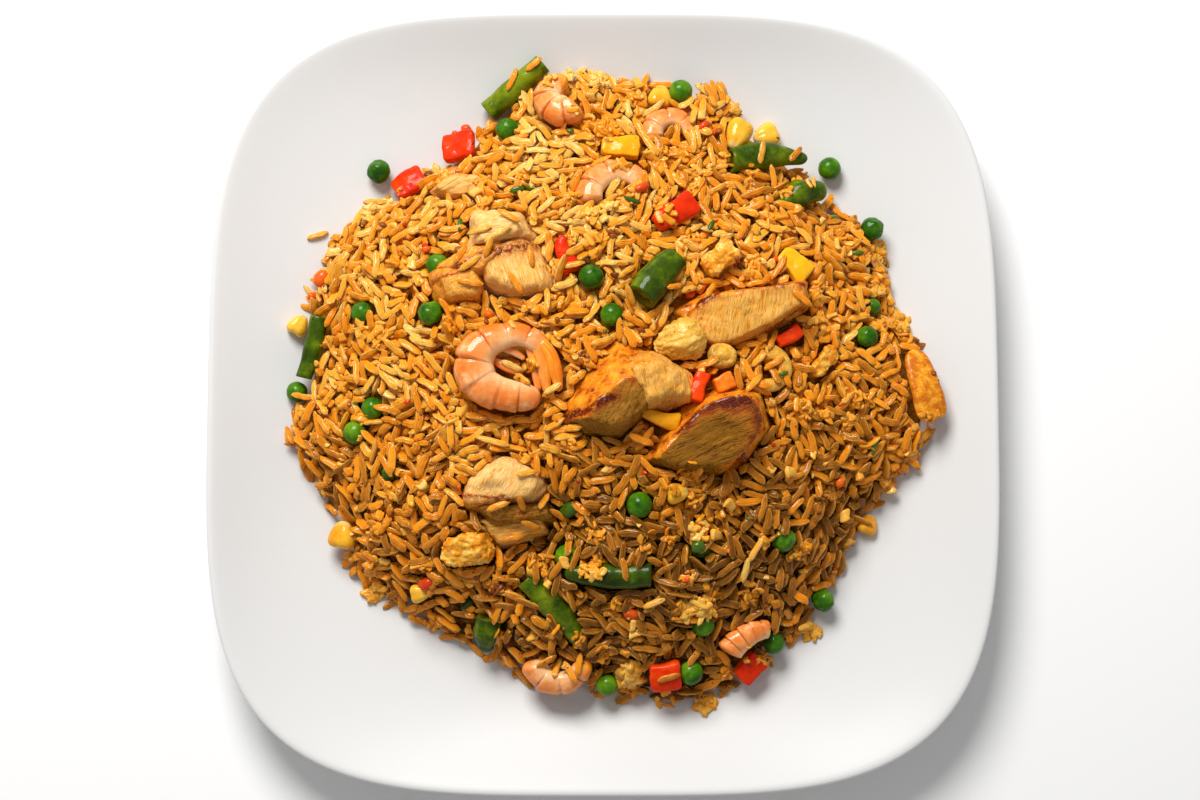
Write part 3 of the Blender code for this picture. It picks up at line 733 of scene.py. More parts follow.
def rim_at(bed, angle):
    """Radius of the heap in given directions."""
    turns = np.arange(185) * 2 * math.pi / 184
    return np.interp(np.mod(angle, 2 * math.pi), turns, np.append(bed.rim, bed.rim[0]))


def node_middle(node):
    """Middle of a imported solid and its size, in millimetres."""
    low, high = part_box(node)
    return np.array((low + high) / 2) / MM, np.array(high - low) / MM


def long_axis(node):
    """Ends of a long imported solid, along the direction in which it is longest."""
    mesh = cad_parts[node].data
    points = np.unique(np.round([v.co[:] for v in mesh.vertices], 6), axis=0) / MM
    middle = (points.min(axis=0) + points.max(axis=0)) / 2
    axis = np.linalg.svd(points - points.mean(axis=0), full_matrices=False)[2][0]
    along = (points - middle) @ axis
    return middle + axis * along.min(), middle + axis * along.max()


def turned(points, degrees, tip):
    """Points turned about Z, then tipped."""
    turn = np.array(Matrix.Rotation(math.radians(degrees), 3, "Z"))
    return points @ turn.T @ tip.T


# ---------------------------------------------------------------- toppings

EXTRA_PEAS = (              # (x, y, diameter, lift): peas half hidden among the grains
    (-105.5, 2.6, 7.2, 1.0), (-78, -5, 7.6, 0.6), (-84, -13, 8.0, 0.8), (60.4, -49.6, 8.4, 0.4),
    (29.7, -93.9, 8.2, 2.2), (33.5, -78, 7.8, 0.0), (58, -83.7, 7.4, 1.4), (-72, -27, 5.2, 0.6),
    (1.4, -98, 7.4, 1.6), (92.5, 31, 5.6, 1.0), (32.5, -52.5, 7.0, -0.8), (-12, -55.5, 8.2, -2.2))

BEAN_SHAPES = {             # node: (heading, bow, fullness at the ends, cut ends, diameter, flatness)
    "bean_1": ((1, 1), 0.0, (0.96, 0.86), (True, True), 8.2, 0.95),
    "bean_2": ((1, 0), 1.6, (0.90, 0.45), (True, False), 9.8, 0.95),
    "bean_3": ((1, 0), 1.2, (0.45, 0.70), (False, False), 10.0, 0.92),
    "bean_4": ((1, 1), 0.8, (1.00, 0.80), (True, True), 11.0, 0.95),
    "bean_5": ((0, -1), 0.8, (0.90, 0.80), (True, True), 6.6, 0.95),
    "bean_6": ((1, 0), -0.8, (0.60, 0.97), (False, True), 8.8, 0.95),
    "bean_7": ((1, -1), 1.4, (0.62, 0.60), (True, False), 10.4, 0.72),
    "bean_8": ((0, -1), 0.0, (0.82, 0.62), (True, False), 9.8, 0.85)}

CORN_SHAPES = {             # node: (turn of the tip, length, width, height)
    "corn_1": (60, 7.8, 6.6, 6.0), "corn_2": (245, 12.0, 8.4, 7.2), "corn_3": (200, 9.4, 8.4, 6.6),
    "corn_4": (80, 9.8, 9.0, 7.0), "corn_5": (10, 7.8, 6.6, 6.0)}
EXTRA_CORN = (              # (x, y, length, width, height, turn, lift)
    (19.9, 105.2, 9.4, 8.0, 6.0, 80, 0.8), (-61.8, -67, 7.0, 6.0, 5.0, 10, 0.6),
    (91, -43, 7.4, 6.4, 5.0, 70, 0.8), (-78.7, 46.6, 5.6, 5.0, 4.6, 20, 0.4))

SHRIMP_SHAPES = {           # node: (curl radius, thick, thin, start, sweep, segments, share that is tail)
    "shrimp_2": (5.0, 6.2, 4.4, -35, -250, 5, 0.12),
    "shrimp_3": (6.6, 4.6, 3.3, 200, -200, 4, 0.10), "shrimp_4": (9.5, 5.3, 3.9, 195, -165, 4, 0.0),
    "shrimp_5": (8.6, 4.9, 3.5, 190, 165, 4, 0.12), "shrimp_6": (15.0, 4.9, 3.3, 152, -66, 5, 0.0)}

LARGE_SHRIMP = (            # (x, y, z, radius) from the node's middle, from the thick end to the tail
    (10.5, -9.2, -0.6, 4.2), (4.5, -8.8, -0.4, 5.2), (-2.5, -7.6, -0.2, 5.8), (-8.8, -4.6, 0.0, 6.8),
    (-11.2, 1.6, 0.2, 7.2), (-8.4, 7.4, 0.4, 6.4), (-2.6, 10.6, 0.4, 5.0), (3.6, 11.2, 0.2, 4.2),
    (9.0, 8.8, 0.0, 3.8), (12.6, 4.6, -0.4, 3.2))
LARGE_SHRIMP_TAIL = (       # how orange, then the same for the strands of its tail and fins
    (1.0, (9.6, 9.4, 0.8, 2.2), (13.4, 4.6, 1.0, 2.6), (15.2, -1.0, 0.8, 2.4), (16.4, -7.4, 0.2, 1.4)),
    (0.8, (7.8, 9.0, 0.6, 1.8), (10.4, 4.0, 0.8, 2.2), (11.6, -1.8, 0.6, 2.2), (12.6, -8.0, 0.0, 1.4)),
    (0.6, (5.8, 8.6, -1.0, 1.4), (8.0, 3.2, -0.6, 1.8), (9.0, -2.6, -0.8, 1.7), (9.8, -7.0, -1.2, 1.2)),
    (0.0, (-3.6, 7.6, -1.4, 1.1), (0.8, 6.2, -1.0, 1.5), (5.2, 3.6, -1.4, 0.9)),
    (0.1, (-5.4, 3.4, -2.0, 1.2), (-1.0, 1.2, -1.6, 1.7), (4.4, -1.2, -1.8, 1.1)))

# Chicken: each piece is one or more blocks. An outline is (x, y, seared share of the wall that
# leaves this corner, lean of that wall), from the node's middle. The top is (slope x, slope y,
# depth of its middle under the node's top, seared share); shown is the height of wall in sight.
CHICKEN_BLOCKS = {
    "chicken_1": (
        {"outline": ((-8.4, 4.2, 0.2, 0.3), (0, 7.5, 0.2, 0.3), (10.1, 8, 0.2, 0.5), (15.2, -0.4, 0.1, 0.5),
                     (18.9, -10.5, 0.1, 0.5), (7, -13.8, 0.1, 0.5), (-6.5, -8.2, 0.4, 0.5)),
         "top": (0.10, 0.10, 2.4, 0.22), "shown": 4.0, "fibre": 108, "pale": 1.2, "scorch": 0.3, "streaks": ((18, 5.0, 2.4),), "scale": 0.86, "sharp": 8.0, "lumpy": 1.0},
        {"outline": ((-7.7, 14.7, 0.0, 0.6), (4.9, 14.6, 0.0, 0.6), (8.4, 8, 0.1, 0.4), (0, 5.3, 0.2, 0.2),
                     (-9.4, 3.2, 0.2, 0.5)),
         "top": (0.05, 0.22, 2.2, 0.08), "shown": 3.5, "fibre": 12, "pale": 1.4, "scorch": 0.2, "scale": 0.9, "sharp": 8.0, "lumpy": 1.0},
        {"outline": ((-20.1, -5.7, 0.5, 0.8), (-8.4, 1.2, 0.5, 0.4), (-3.8, -8.8, 0.3, 0.3),
                     (-6.1, -13.6, 0.6, 0.5), (-18.2, -13.6, 0.6, 0.7)),
         "top": (-0.20, -0.16, 3.4, 0.26), "shown": 4.0, "fibre": 30, "pale": 1.0, "scorch": 0.2, "streaks": ((15, 4.0, 1.2),), "scale": 0.85, "sharp": 7.0, "lumpy": 1.0},
        {"outline": ((-15.5, -2.5, 0.45, 0.7), (-1, 6.5, 0.4, 0.4), (3.0, 2.5, 0.4, 0.3), (-8, -6.5, 0.5, 0.5)),
         "top": (-0.18, 0.16, 1.6, 0.40), "shown": 3.5, "fibre": 30, "pale": 1.0, "scorch": 0.4, "streaks": ((20, 0.5, 2.2),), "scale": 0.9, "sharp": 7.0, "lumpy": 1.0}),
    "chicken_2": (
        {"outline": ((-15, 4.3, 0.8, 0.3), (3.4, 6.5, 0.8, 0.3), (18.3, 9.3, 0.9, 0.3), (19.3, 1.2, 0.5, 0.3),
                     (6.7, -6.6, 0.5, 0.4), (-5.2, -12.3, 0.5, 0.3), (-15.2, -12.6, 0.5, 0.5),
                     (-22.4, -4.5, 0.9, 0.7)),
         "top": (0.0, -0.10, 1.2, 0.02), "shown": 6.0, "fibre": 78, "pale": 0.9, "scale": 1.0, "sharp": 20.0},
        {"outline": ((-25.5, -1.5, 0.9, 0.7), (-12, 5.5, 0.9, 0.5), (-8, -2, 0.4, 0.3), (-20, -8, 0.9, 0.6)),
         "top": (-0.25, 0.15, 2.6, 0.85), "shown": 5.0, "fibre": 20, "pale": 0.3}),
    "chicken_3": (
        {"outline": ((-18.6, -9.7, 1.0, 1.2), (-12.1, 1.8, 1.0, 1.4), (-3.2, 10, 1.0, 1.3),
                     (5.5, 6.5, 0.0, 0.3), (4.8, -5.5, 0.0, 0.2), (-4.2, -12.8, 0.0, 0.4),
                     (-11.4, -12.2, 0.2, 0.4)),
         "top": (0.10, -0.30, 1.2, 0.26), "shown": 7.5, "fibre": 62, "pale": 0.16, "sharp": 20.0},
        {"outline": ((-4.5, 9.5, 0.5, 0.7), (8.3, 11.1, 0.2, 0.5), (16.2, 5.2, 0.15, 0.5), (16.8, -1.4, 0.1, 0.4),
                     (5, -4.9, 0.1, 0.3), (-1, 2, 0.2, 0.2)),
         "top": (0.34, -0.06, 1.0, 0.33), "shown": 6.5, "fibre": 100, "pale": 0.95, "sharp": 9.0, "scorch": 0.3, "lumpy": 1.0}),
    "chicken_4": (
        {"outline": ((-21.6, -11.5, 1.0, 0.8), (-5.8, 7.4, 1.0, 0.7), (4.1, 10.8, 1.0, 0.5),
                     (13.2, 9.3, 1.0, 0.4), (15.5, -0.1, 0.85, 0.3), (9.3, -9.9, 0.7, 0.3),
                     (0.9, -14.4, 0.2, 0.3), (-12.4, -14.4, 0.2, 0.3)),
         "top": (0.06, -0.14, 0.8, 0.02), "shown": 6.0, "fibre": 24, "pale": 0.02, "scale": 1.0, "sharp": 20.0},),
    "chicken_5": (
        {"outline": ((-13.2, -6.2, 0.2, 0.5), (-7.8, 3.4, 0.2, 0.5), (-0.6, 8.1, 0.1, 0.5),
                     (9.5, 5.8, 0.2, 0.5), (15, -1.5, 0.3, 0.5), (12.6, -6.1, 0.3, 0.5),
                     (-0.6, -8.5, 0.6, 0.5), (-8.9, -8.9, 0.6, 0.5)),
         "top": (-0.10, -0.10, 1.0, 0.14), "shown": 5.0, "fibre": 60, "pale": 1.4, "scorch": 0.8, "streaks": ((-8, -5.0, 1.0),), "scale": 0.92, "sharp": 7.0, "lumpy": 1.1},
        {"outline": ((-9, -8, 0.2, 0.4), (14, -7, 0.2, 0.4), (16, -12, 0.3, 0.4), (-3, -13.5, 0.3, 0.4)),
         "top": (0.0, -0.30, 6.0, 0.36), "shown": 3.0, "fibre": 5, "pale": 0.10, "lumpy": 1.3, "scorch": 0.5}),
    "chicken_strip_1": (
        {"outline": ((-7.7, -2.0, 0.5, 0.4), (-0.9, 3.1, 0.4, 0.4), (8.6, 2.1, 0.3, 0.4),
                     (8.1, -3.5, 0.3, 0.4), (-2.3, -5.0, 0.4, 0.4)),
         "top": (0.0, -0.15, 0.8, 0.12), "shown": 2.6, "fibre": 24, "pale": 1.2, "scorch": 0.3},),
    "chicken_strip_2": (
        {"outline": ((-17.1, 1.1, 0.3, 0.4), (3.5, 4.0, 0.1, 0.3), (6.1, -1.9, 0.1, 0.4),
                     (-9.9, -6.9, 0.2, 0.4)),
         "top": (0.05, -0.20, 0.8, 0.12), "shown": 3.0, "fibre": 10, "pale": 0.9, "scorch": 0.3},)}

EGG_SHAPES = {              # node: (turn, length, width, height, lumpiness, browning)
    "egg_1": (40, 13, 10, 5.0, 1.3, 0.1), "egg_2": (-76, 25, 12.5, 3.2, 0.22, 0.8),
    "egg_3": (8, 18, 12, 7.0, 1.7, 0.25), "egg_4": (42, 14, 7, 4.6, 1.2, 0.4)}

PEPPER_SHAPES = {           # node: (turn, length, width, thickness, taper, curl)
    "pepper_1": (4, 11.4, 10.6, 3.6, 0.05, 0.5), "pepper_2": (32, 11.6, 9.8, 3.4, 0.15, 0.6),
    "pepper_3": (36, 16.5, 9.5, 3.6, 0.35, 0.9), "pepper_4": (-72, 12.4, 6.8, 3.8, 0.40, 0.6),
    "pepper_5": (75, 10.4, 5.4, 4.6, 0.25, 0.6), "pepper_6": (36, 9.2, 5.0, 3.6, 0.25, 0.5),
    "pepper_7": (5, 10.4, 9.6, 4.6, 0.05, 0.4), "pepper_8": (48, 9.6, 7.8, 4.6, 0.15, 0.4)}
YELLOW_SHAPES = {
    "yellow_pepper_1": (-4, 13.0, 8.8, 3.8, 0.30, 0.7), "yellow_pepper_2": (-40, 12.0, 8.8, 4.2, 0.25, 0.7),
    "yellow_pepper_3": (-12, 12.6, 6.4, 4.0, 0.55, 1.2)}
CARROT_SHAPES = {"carrot_1": (20, 6.8, 5.8, 5.4, 0.10, 0.0)}
SLICE_SHIFTS = {"yellow_pepper_3": (1.5, 4.5, 0.0)}     # moves toward the shown part of a slice


def pea_points(radius, seed):
    """One pea: a slightly wrinkled ball with a pale scar. Returns points, faces and the scar."""
    points, faces = ball_grid(9)
    chance = np.random.default_rng(seed)
    scar = chance.normal(size=3)
    scar /= np.linalg.norm(scar)
    near = np.exp(-np.maximum(1.0 - points @ scar, 0.0) / 0.025)
    wrinkle = 0.10 if seed % 4 == 3 else 0.03
    full = 1.0 + wrinkle * rough(points + 5.3 * seed, 0.55, seed) - 0.07 * near
    return points * (radius * full)[:, None] * (1.0, 1.0, 0.93), faces, near


def set_down(bed, middle, low):
    """Middle of a loose bit, let down onto the bare plate where it would hang just above it."""
    rest = bed.floor[bed.cell(middle[0], middle[1])] + low
    return np.array((middle[0], middle[1], rest)) if 0.0 < middle[2] - rest < 1.6 else middle


def make_peas(look, bed):
    """Every pea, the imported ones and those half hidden."""
    gather = Gather()
    nodes = [node for node in sorted(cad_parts) if node.startswith("pea_")]
    places = []
    for node in nodes:
        middle, size = node_middle(node)
        radius = size.mean() / 2 * 1.04
        places.append((set_down(bed, middle, radius * 0.95), radius))
    for x, y, diameter, lift in EXTRA_PEAS:
        iy, ix = bed.cell(x, y)
        floor = bed.floor[iy, ix] + diameter * 0.46
        places.append((np.array((x, y, max(bed.rice[iy, ix] + lift, floor))), diameter / 2))
    chance = np.random.default_rng(look.seed)
    for i, (middle, radius) in enumerate(places):
        points, faces, near = pea_points(radius, 11 + i)
        gather.add(points + middle, faces, tint=chance.random(), inner=near * 0.5)
    finish = skin_finish("pea_skin", ((0.012, 0.068, 0.001), tuple(look.pea), (0.14, 0.30, 0.006)), 170.0,
                         2.6, (0.34, 0.20), 0.30, 0.06, 0.06, 0.00012, 500.0, (0.15, 0.26, 0.012))
    return gather.make("peas", finish, nodes)


def corn_points(length, width, height, seed):
    """One kernel of sweetcorn: a plump crown that narrows to the tip along +X."""
    points, faces = ball_grid(9)
    shape = np.sign(points) * np.abs(points) ** 0.82
    narrow = 1.0 - 0.34 * shape[:, 0]
    dent = np.exp(-((shape[:, 1] / 0.28) ** 2 + (shape[:, 2] / 0.5) ** 2)) * (shape[:, 0] < 0)
    shape = shape * np.array((length, width, height)) / 2
    shape[:, 1] *= narrow
    shape[:, 2] *= narrow ** 0.7
    shape[:, 0] += dent * 0.10 * length
    crease = np.exp(-(points[:, 1] / 0.10) ** 2) * (points[:, 2] > 0)
    shape[:, 2] -= crease * 0.05 * height
    shape += 0.12 * rough(points + 3.7 * seed, 0.8, seed)[:, None] * points
    tip = np.clip((points[:, 0] - 0.55) / 0.4, 0.0, 1.0)
    return shape, faces, tip


def make_corn(look, bed):
    """Every kernel of sweetcorn."""
    gather = Gather()
    chance = np.random.default_rng(look.seed + 1)
    places = []
    for node, (turn, length, width, height) in CORN_SHAPES.items():
        middle, _ = node_middle(node)
        places.append((set_down(bed, middle, height * 0.45), length, width, height, turn))
    for x, y, length, width, height, turn, lift in EXTRA_CORN:
        iy, ix = bed.cell(x, y)
        level = max(bed.rice[iy, ix] + lift, bed.floor[iy, ix] + height / 2)
        places.append((np.array((x, y, level)), length, width, height, turn))
    for i, (middle, length, width, height, turn) in enumerate(places):
        points, faces, tip = corn_points(length, width, height, i)
        tip_over = bed.lean(middle[0], middle[1], length / 2)
        gather.add(turned(points, turn, tip_over) + middle, faces, tint=chance.random(), inner=tip)
    gold = tuple(look.corn)
    finish = skin_finish("corn_skin", ((gold[0] * 0.86, gold[1] * 0.55, gold[2] * 0.4), gold,
                                       (0.98, 0.60, 0.07)), 200.0, 1.8, (0.32, 0.18), 0.5, 0.09, 0.16,
                         0.00008, 600.0, (0.90, 0.62, 0.22))
    return gather.make("sweetcorn", finish, list(CORN_SHAPES))


def bean_points(start, end, bow, ends, cuts, diameter, flatness, seed):
    """One cut green bean between two places. Returns points, faces and where the cut flesh shows."""
    axis = end - start
    length = np.linalg.norm(axis)
    side = np.array((-axis[1], axis[0], 0.0))
    side /= np.linalg.norm(side)
    cap = diameter * 0.32
    stations = []
    for t in np.linspace(0.0, 1.0, 30):
        edge = np.interp(t, (0.0, 0.12, 0.5, 0.88, 1.0),
                         (ends[0], (1 + 2 * ends[0]) / 3, 1.0, (1 + 2 * ends[1]) / 3, ends[1]))
        stations.append((t * length, edge, 0.0))
    for i, cut in enumerate(cuts):
        place = 0.0 if i == 0 else length
        outward_step = -1.0 if i == 0 else 1.0
        full = ends[i]
        if cut:
            rings = ((0.10, 0.97, 0.1), (0.16, 0.90, 0.6), (0.14, 0.78, 1.0), (-0.55, 0.62, 0.75),
                     (-1.0, 0.42, 0.35), (-0.7, 0.22, 1.0), (-0.6, 0.10, 1.0))
            more = [(place + outward_step * step, full * ratio, mark) for step, ratio, mark in rings]
        else:
            more = [(place + outward_step * cap * math.sin(a), full * math.cos(a), 0.0)
                    for a in np.linspace(0.25, 1.5, 7)]
        stations = more[::-1] + stations if i == 0 else stations + more
    along, fullness, flesh = (np.array(column) for column in zip(*stations))
    t = np.clip(along / length, 0.0, 1.0)
    path = (start + np.outer(along / length, axis) + np.outer(bow * 4 * t * (1 - t), side))
    sides = 20
    ahead = axis / length
    up = np.cross(ahead, side)
    if up[2] < 0:
        up = -up
    angles = np.arange(sides) * 2 * math.pi / sides
    radius = diameter / 2 * fullness
    rings = []
    for middle, size in zip(path, radius):
        rings.append(middle + np.outer(np.cos(angles) * size, side)
                     + np.outer(np.sin(angles) * size * flatness, up))
    count = len(rings)
    points = np.vstack(rings + [path[:1], path[-1:]])
    faces = []
    for i in range(count - 1):
        for j in range(sides):
            k = (j + 1) % sides
            faces.append((i * sides + j, i * sides + k, (i + 1) * sides + k, (i + 1) * sides + j))
    last = (count - 1) * sides
    faces += [(count * sides, (j + 1) % sides, j) for j in range(sides)]
    faces += [(count * sides + 1, last + j, last + (j + 1) % sides) for j in range(sides)]
    centres = np.vstack([np.repeat(path, sides, axis=0), path[:1], path[-1:]])
    seeds = np.cos(np.repeat(along, sides) / length * 2 * math.pi * max(length / 9.0, 1.0) + seed)
    swell = np.append(0.035 * seeds, (0.0, 0.0))
    uneven = 1.0 + swell + 0.05 * rough(points, 6.0, seed, 2) + 0.015 * rough(points, 1.5, seed + 3, 2)
    points = centres + (points - centres) * uneven[:, None]
    inner = np.append(np.repeat(flesh, sides), (flesh[0], flesh[-1]))
    return points, faces, inner


def make_beans(look, bed):
    """Every piece of green bean."""
    gather = Gather()
    tints = {"bean_1": 1.20, "bean_2": 0.60, "bean_3": 0.80, "bean_4": 0.40, "bean_5": 0.30,
             "bean_6": 0.10, "bean_7": 0.85, "bean_8": 0.10}
    for i, (node, (heading, bow, ends, cuts, diameter, flatness)) in enumerate(BEAN_SHAPES.items()):
        start, end = long_axis(node)
        if (end - start)[:2] @ np.array(heading) < 0:
            start, end = end, start
        axis = (end - start) / np.linalg.norm(end - start)
        for which, cut in enumerate(cuts):
            if not cut:
                shift = axis * diameter * 0.25
                start, end = (start + shift, end) if which == 0 else (start, end - shift)
        points, faces, inner = bean_points(start, end, bow, ends, cuts, diameter, flatness, i)
        gather.add(points, faces, tint=tints[node], inner=inner)
    dark = tuple(channel * 0.35 for channel in look.bean)
    finish = skin_finish("bean_skin", (dark, tuple(look.bean), (0.20, 0.25, 0.004)), 120.0, 2.8,
                         (0.34, 0.20), 0.24, 0.06, 0.02, 0.00030, 420.0, (0.17, 0.15, 0.006))
    return gather.make("green_beans", finish, list(BEAN_SHAPES))


def arc_path(curl, thick, thin, start, sweep, stations=90):
    """Middle line and radii of a shrimp curled on an arc."""
    t = 0.5 - 0.5 * np.cos(np.linspace(0.0, math.pi, stations))
    angle = np.radians(start + sweep * t)
    path = np.stack([curl * np.cos(angle), curl * np.sin(angle), 1.2 * np.sin(math.pi * t)], axis=1)
    return path, thick + (thin - thick) * t ** 1.1


def drawn_path(table):
    """Middle line and radii of a shrimp through (x, y, z, radius) points."""
    line = smooth_through(table, 12)
    return line[:, :3], line[:, 3]


def shrimp_points(path, body, segments, tail_share, seed):
    """One peeled shrimp along its middle line: overlapping segments on the back, a pointed tail end.

    Returns points, faces and, on each point, back, seam, tail and strand coordinates."""
    stations = len(path)
    sides = 22
    ahead = np.gradient(path, axis=0)
    run = np.append(0.0, np.cumsum(np.linalg.norm(np.diff(path, axis=0), axis=1)))
    t = run / run[-1]
    ahead /= np.linalg.norm(ahead, axis=1)[:, None]
    up = np.array((0.0, 0.0, 1.0))
    radial = np.cross(ahead, up)
    radial /= np.linalg.norm(radial, axis=1)[:, None]
    if np.sum(radial * (path - path.mean(axis=0))) < 0:
        radial = -radial
    head_cap = np.sqrt(np.clip(1.0 - (1.0 - np.clip(t / 0.085, 0, 1)) ** 2, 0.0, 1.0))
    tail_start = 1.0 - max(tail_share, 0.08)
    tail_cap = np.sqrt(np.clip(1.0 - (np.clip((t - tail_start) / (1 - tail_start), 0, 1)) ** 2.4, 0, 1))
    size = body * (0.10 + 0.90 * head_cap) * (0.12 + 0.88 * tail_cap)
    angles = np.arange(sides) * 2 * math.pi / sides
    outer = np.clip(np.cos(angles), -1, 1)
    phase = t * segments * (1.0 + 0.04 * math.sin(seed))
    part = phase - np.floor(phase)
    step = 0.075 * (1.0 - part) - 0.035
    groove = np.exp(-(np.minimum(part, 1 - part) / 0.035) ** 2)
    groove[(t < 0.06) | (t > tail_start + 0.02)] = 0.0
    rings = []
    backs = []
    seams = []
    for i in range(stations):
        facing = np.clip(outer * 0.8 + 0.70, 0.0, 1.0)
        ripple = 1.0 + facing * (step[i] * 1.5 - 0.16 * groove[i])
        inner_pinch = 1.0 - 0.16 * np.clip(-outer, 0, 1) ** 2
        ring = (path[i] + np.outer(np.cos(angles) * size[i] * ripple * inner_pinch, radial[i])
                + np.outer(np.sign(np.sin(angles)) * np.abs(np.sin(angles)) ** 0.8 * size[i] * 0.80 * ripple, up))
        rings.append(ring)
        backs.append(np.clip(outer * 0.65 + 0.55, 0.0, 1.0))
        seams.append(groove[i] * facing)
    points = np.vstack(rings + [path[:1], path[-1:]])
    faces = []
    for i in range(stations - 1):
        for j in range(sides):
            k = (j + 1) % sides
            faces.append((i * sides + j, i * sides + k, (i + 1) * sides + k, (i + 1) * sides + j))
    last = (stations - 1) * sides
    faces += [(stations * sides, (j + 1) % sides, j) for j in range(sides)]
    faces += [(stations * sides + 1, last + j, last + (j + 1) % sides) for j in range(sides)]
    backs = np.append(np.concatenate(backs), (0.5, 0.5))
    seams = np.append(np.concatenate(seams), (0.0, 0.0))
    arc = np.append(np.repeat(t, sides), (0.0, 1.0))
    tails = np.clip((arc - tail_start) / 0.05, 0.0, 1.0) if tail_share else np.zeros(len(arc))
    turns = np.append(np.tile(angles, stations), (0.0, 0.0))
    strand = np.stack([arc * run[-1] * 0.12, np.cos(turns) * 2.2, np.sin(turns) * 2.2 + seed], axis=1)
    centres = np.vstack([np.repeat(path, sides, axis=0), path[:1], path[-1:]])
    uneven = 1.0 + 0.06 * rough(points + 9.1 * seed, 4.0, seed, 3)
    points = centres + (points - centres) * uneven[:, None]
    return points, faces, {"back": backs, "seam": seams, "tail": tails, "strand": strand}


def make_shrimps(look, bed):
    """Every shrimp."""
    gather = Gather()
    for i, (node, (*arc, segments, tail)) in enumerate(SHRIMP_SHAPES.items()):
        points, faces, values = shrimp_points(*arc_path(*arc), segments, tail, i + 2)
        middle, _ = node_middle(node)
        points = points @ bed.lean(middle[0], middle[1], arc[0]).T
        points += middle - (points.max(axis=0) + points.min(axis=0)) / 2
        gather.add(points, faces, **values)
    middle, _ = node_middle("shrimp_1")
    middle = middle - (0.0, 0.0, 1.6)
    points, faces, values = shrimp_points(*drawn_path(LARGE_SHRIMP), 8, 0.0, 1)
    gather.add(points + middle, faces, **values)
    for i, (hot, *table) in enumerate(LARGE_SHRIMP_TAIL):
        points, faces, values = shrimp_points(*drawn_path(table), 1, 0.0, 11 + i)
        values["tail"] = hot
        gather.add(points + middle, faces, **values)
    finish = shrimp_finish(tuple(look.shrimp), tuple(look.shrimp_band))
    return gather.make("shrimps", finish, ["shrimp_1"] + list(SHRIMP_SHAPES))


def chicken_block(middle, size, block, seed):
    """One block of chicken in place. Returns points, faces and the values of its points."""
    outline = np.array([(x, y) for x, y, _, _ in block["outline"]])
    marks = [mark for _, _, mark, _ in block["outline"]]
    leans = [lean for _, _, _, lean in block["outline"]]
    centre = outline.mean(axis=0)
    slope_x, slope_y, drop, top_mark = block["top"]
    half = size[2] / 2
    planes = outline_planes((outline - centre) * block.get("scale", 0.95), half - block["shown"] * 0.45,
                            [lean * 0.62 for lean in leans], marks)
    planes.append(((slope_x, slope_y, 1.0), half, top_mark))
    planes.append(((0.0, 0.0, -1.0), half + 2.0, 0.2))
    spans = np.append(np.ptp(outline, axis=0), size[2])
    points, faces, sear, soft = cut_block(33 if max(spans) > 18 else 20, spans, planes, block.get("sharp", 13.0))
    normals = outward(points, faces)
    turn = math.radians(block["fibre"])
    along = np.array((math.cos(turn), math.sin(turn), 0.15))
    across = np.array((-math.sin(turn), math.cos(turn), 0.0))
    fibre = np.stack([points @ along * 0.13, points @ across, points[:, 2]], axis=1)
    fibre += 0.5 * rough(points, 7.0, 40 + seed, 2)[:, None]
    ridges = rough(fibre, 1.3, 60 + seed, 2)
    push = (block.get("lumpy", 0.75) * rough(points + 7.7 * seed, 6.5, 20 + seed, 3)
            + 0.30 * ridges * (1.0 - sear) + 0.16 * rough(points, 1.7, 30 + seed, 2))
    points = points + normals * push[:, None]
    place = np.array((*(middle[:2] + centre), middle[2] - drop))
    wander = rough(points, 5.0, 50 + seed, 3)
    scorch = np.exp(-((soft - 0.65 - 0.05 * wander) / 0.14) ** 2)
    scorch *= block.get("scorch", 1.0) * np.clip(0.80 + 1.0 * rough(points, 5.0, 55 + seed, 2), 0.0, 1.0)
    for heading, offset, reach in block.get("streaks", ()):
        heading = math.radians(heading)
        line = points[:, 1] * math.cos(heading) - points[:, 0] * math.sin(heading) - offset + 0.9 * wander
        scorch = np.maximum(scorch, 0.62 * np.exp(-(line / reach) ** 2))
    return points + place, faces, {"sear": sear, "fibre": fibre / 0.85 + 3.0 * seed, "pale": block["pale"],
                                   "scorch": scorch}


def make_chicken(look, bed):
    """Every piece of chicken, cut across its fibres and seared on its skin side."""
    gather = Gather()
    seed = 0
    for node, blocks in CHICKEN_BLOCKS.items():
        middle, size = node_middle(node)
        for block in blocks:
            points, faces, values = chicken_block(middle, size, block, seed)
            gather.add(points, faces, **values)
            seed += 1
    finish = chicken_finish(tuple(look.chicken), tuple(look.glaze))
    return gather.make("chicken", finish, list(CHICKEN_BLOCKS))


def block_planes(length, width, height, taper):
    """Planes of a tapered block that narrows toward -X."""
    slant = taper * width / length / 2
    return [((1, 0, 0), length / 2, 0.0), ((-1, 0, 0), length / 2, 0.0),
            ((-slant, 1, 0), width / 2 * (1 - taper / 2), 0.0),
            ((-slant, -1, 0), width / 2 * (1 - taper / 2), 0.0),
            ((0, 0, 1), height / 2, 0.0), ((0, 0, -1), height / 2, 1.0)]


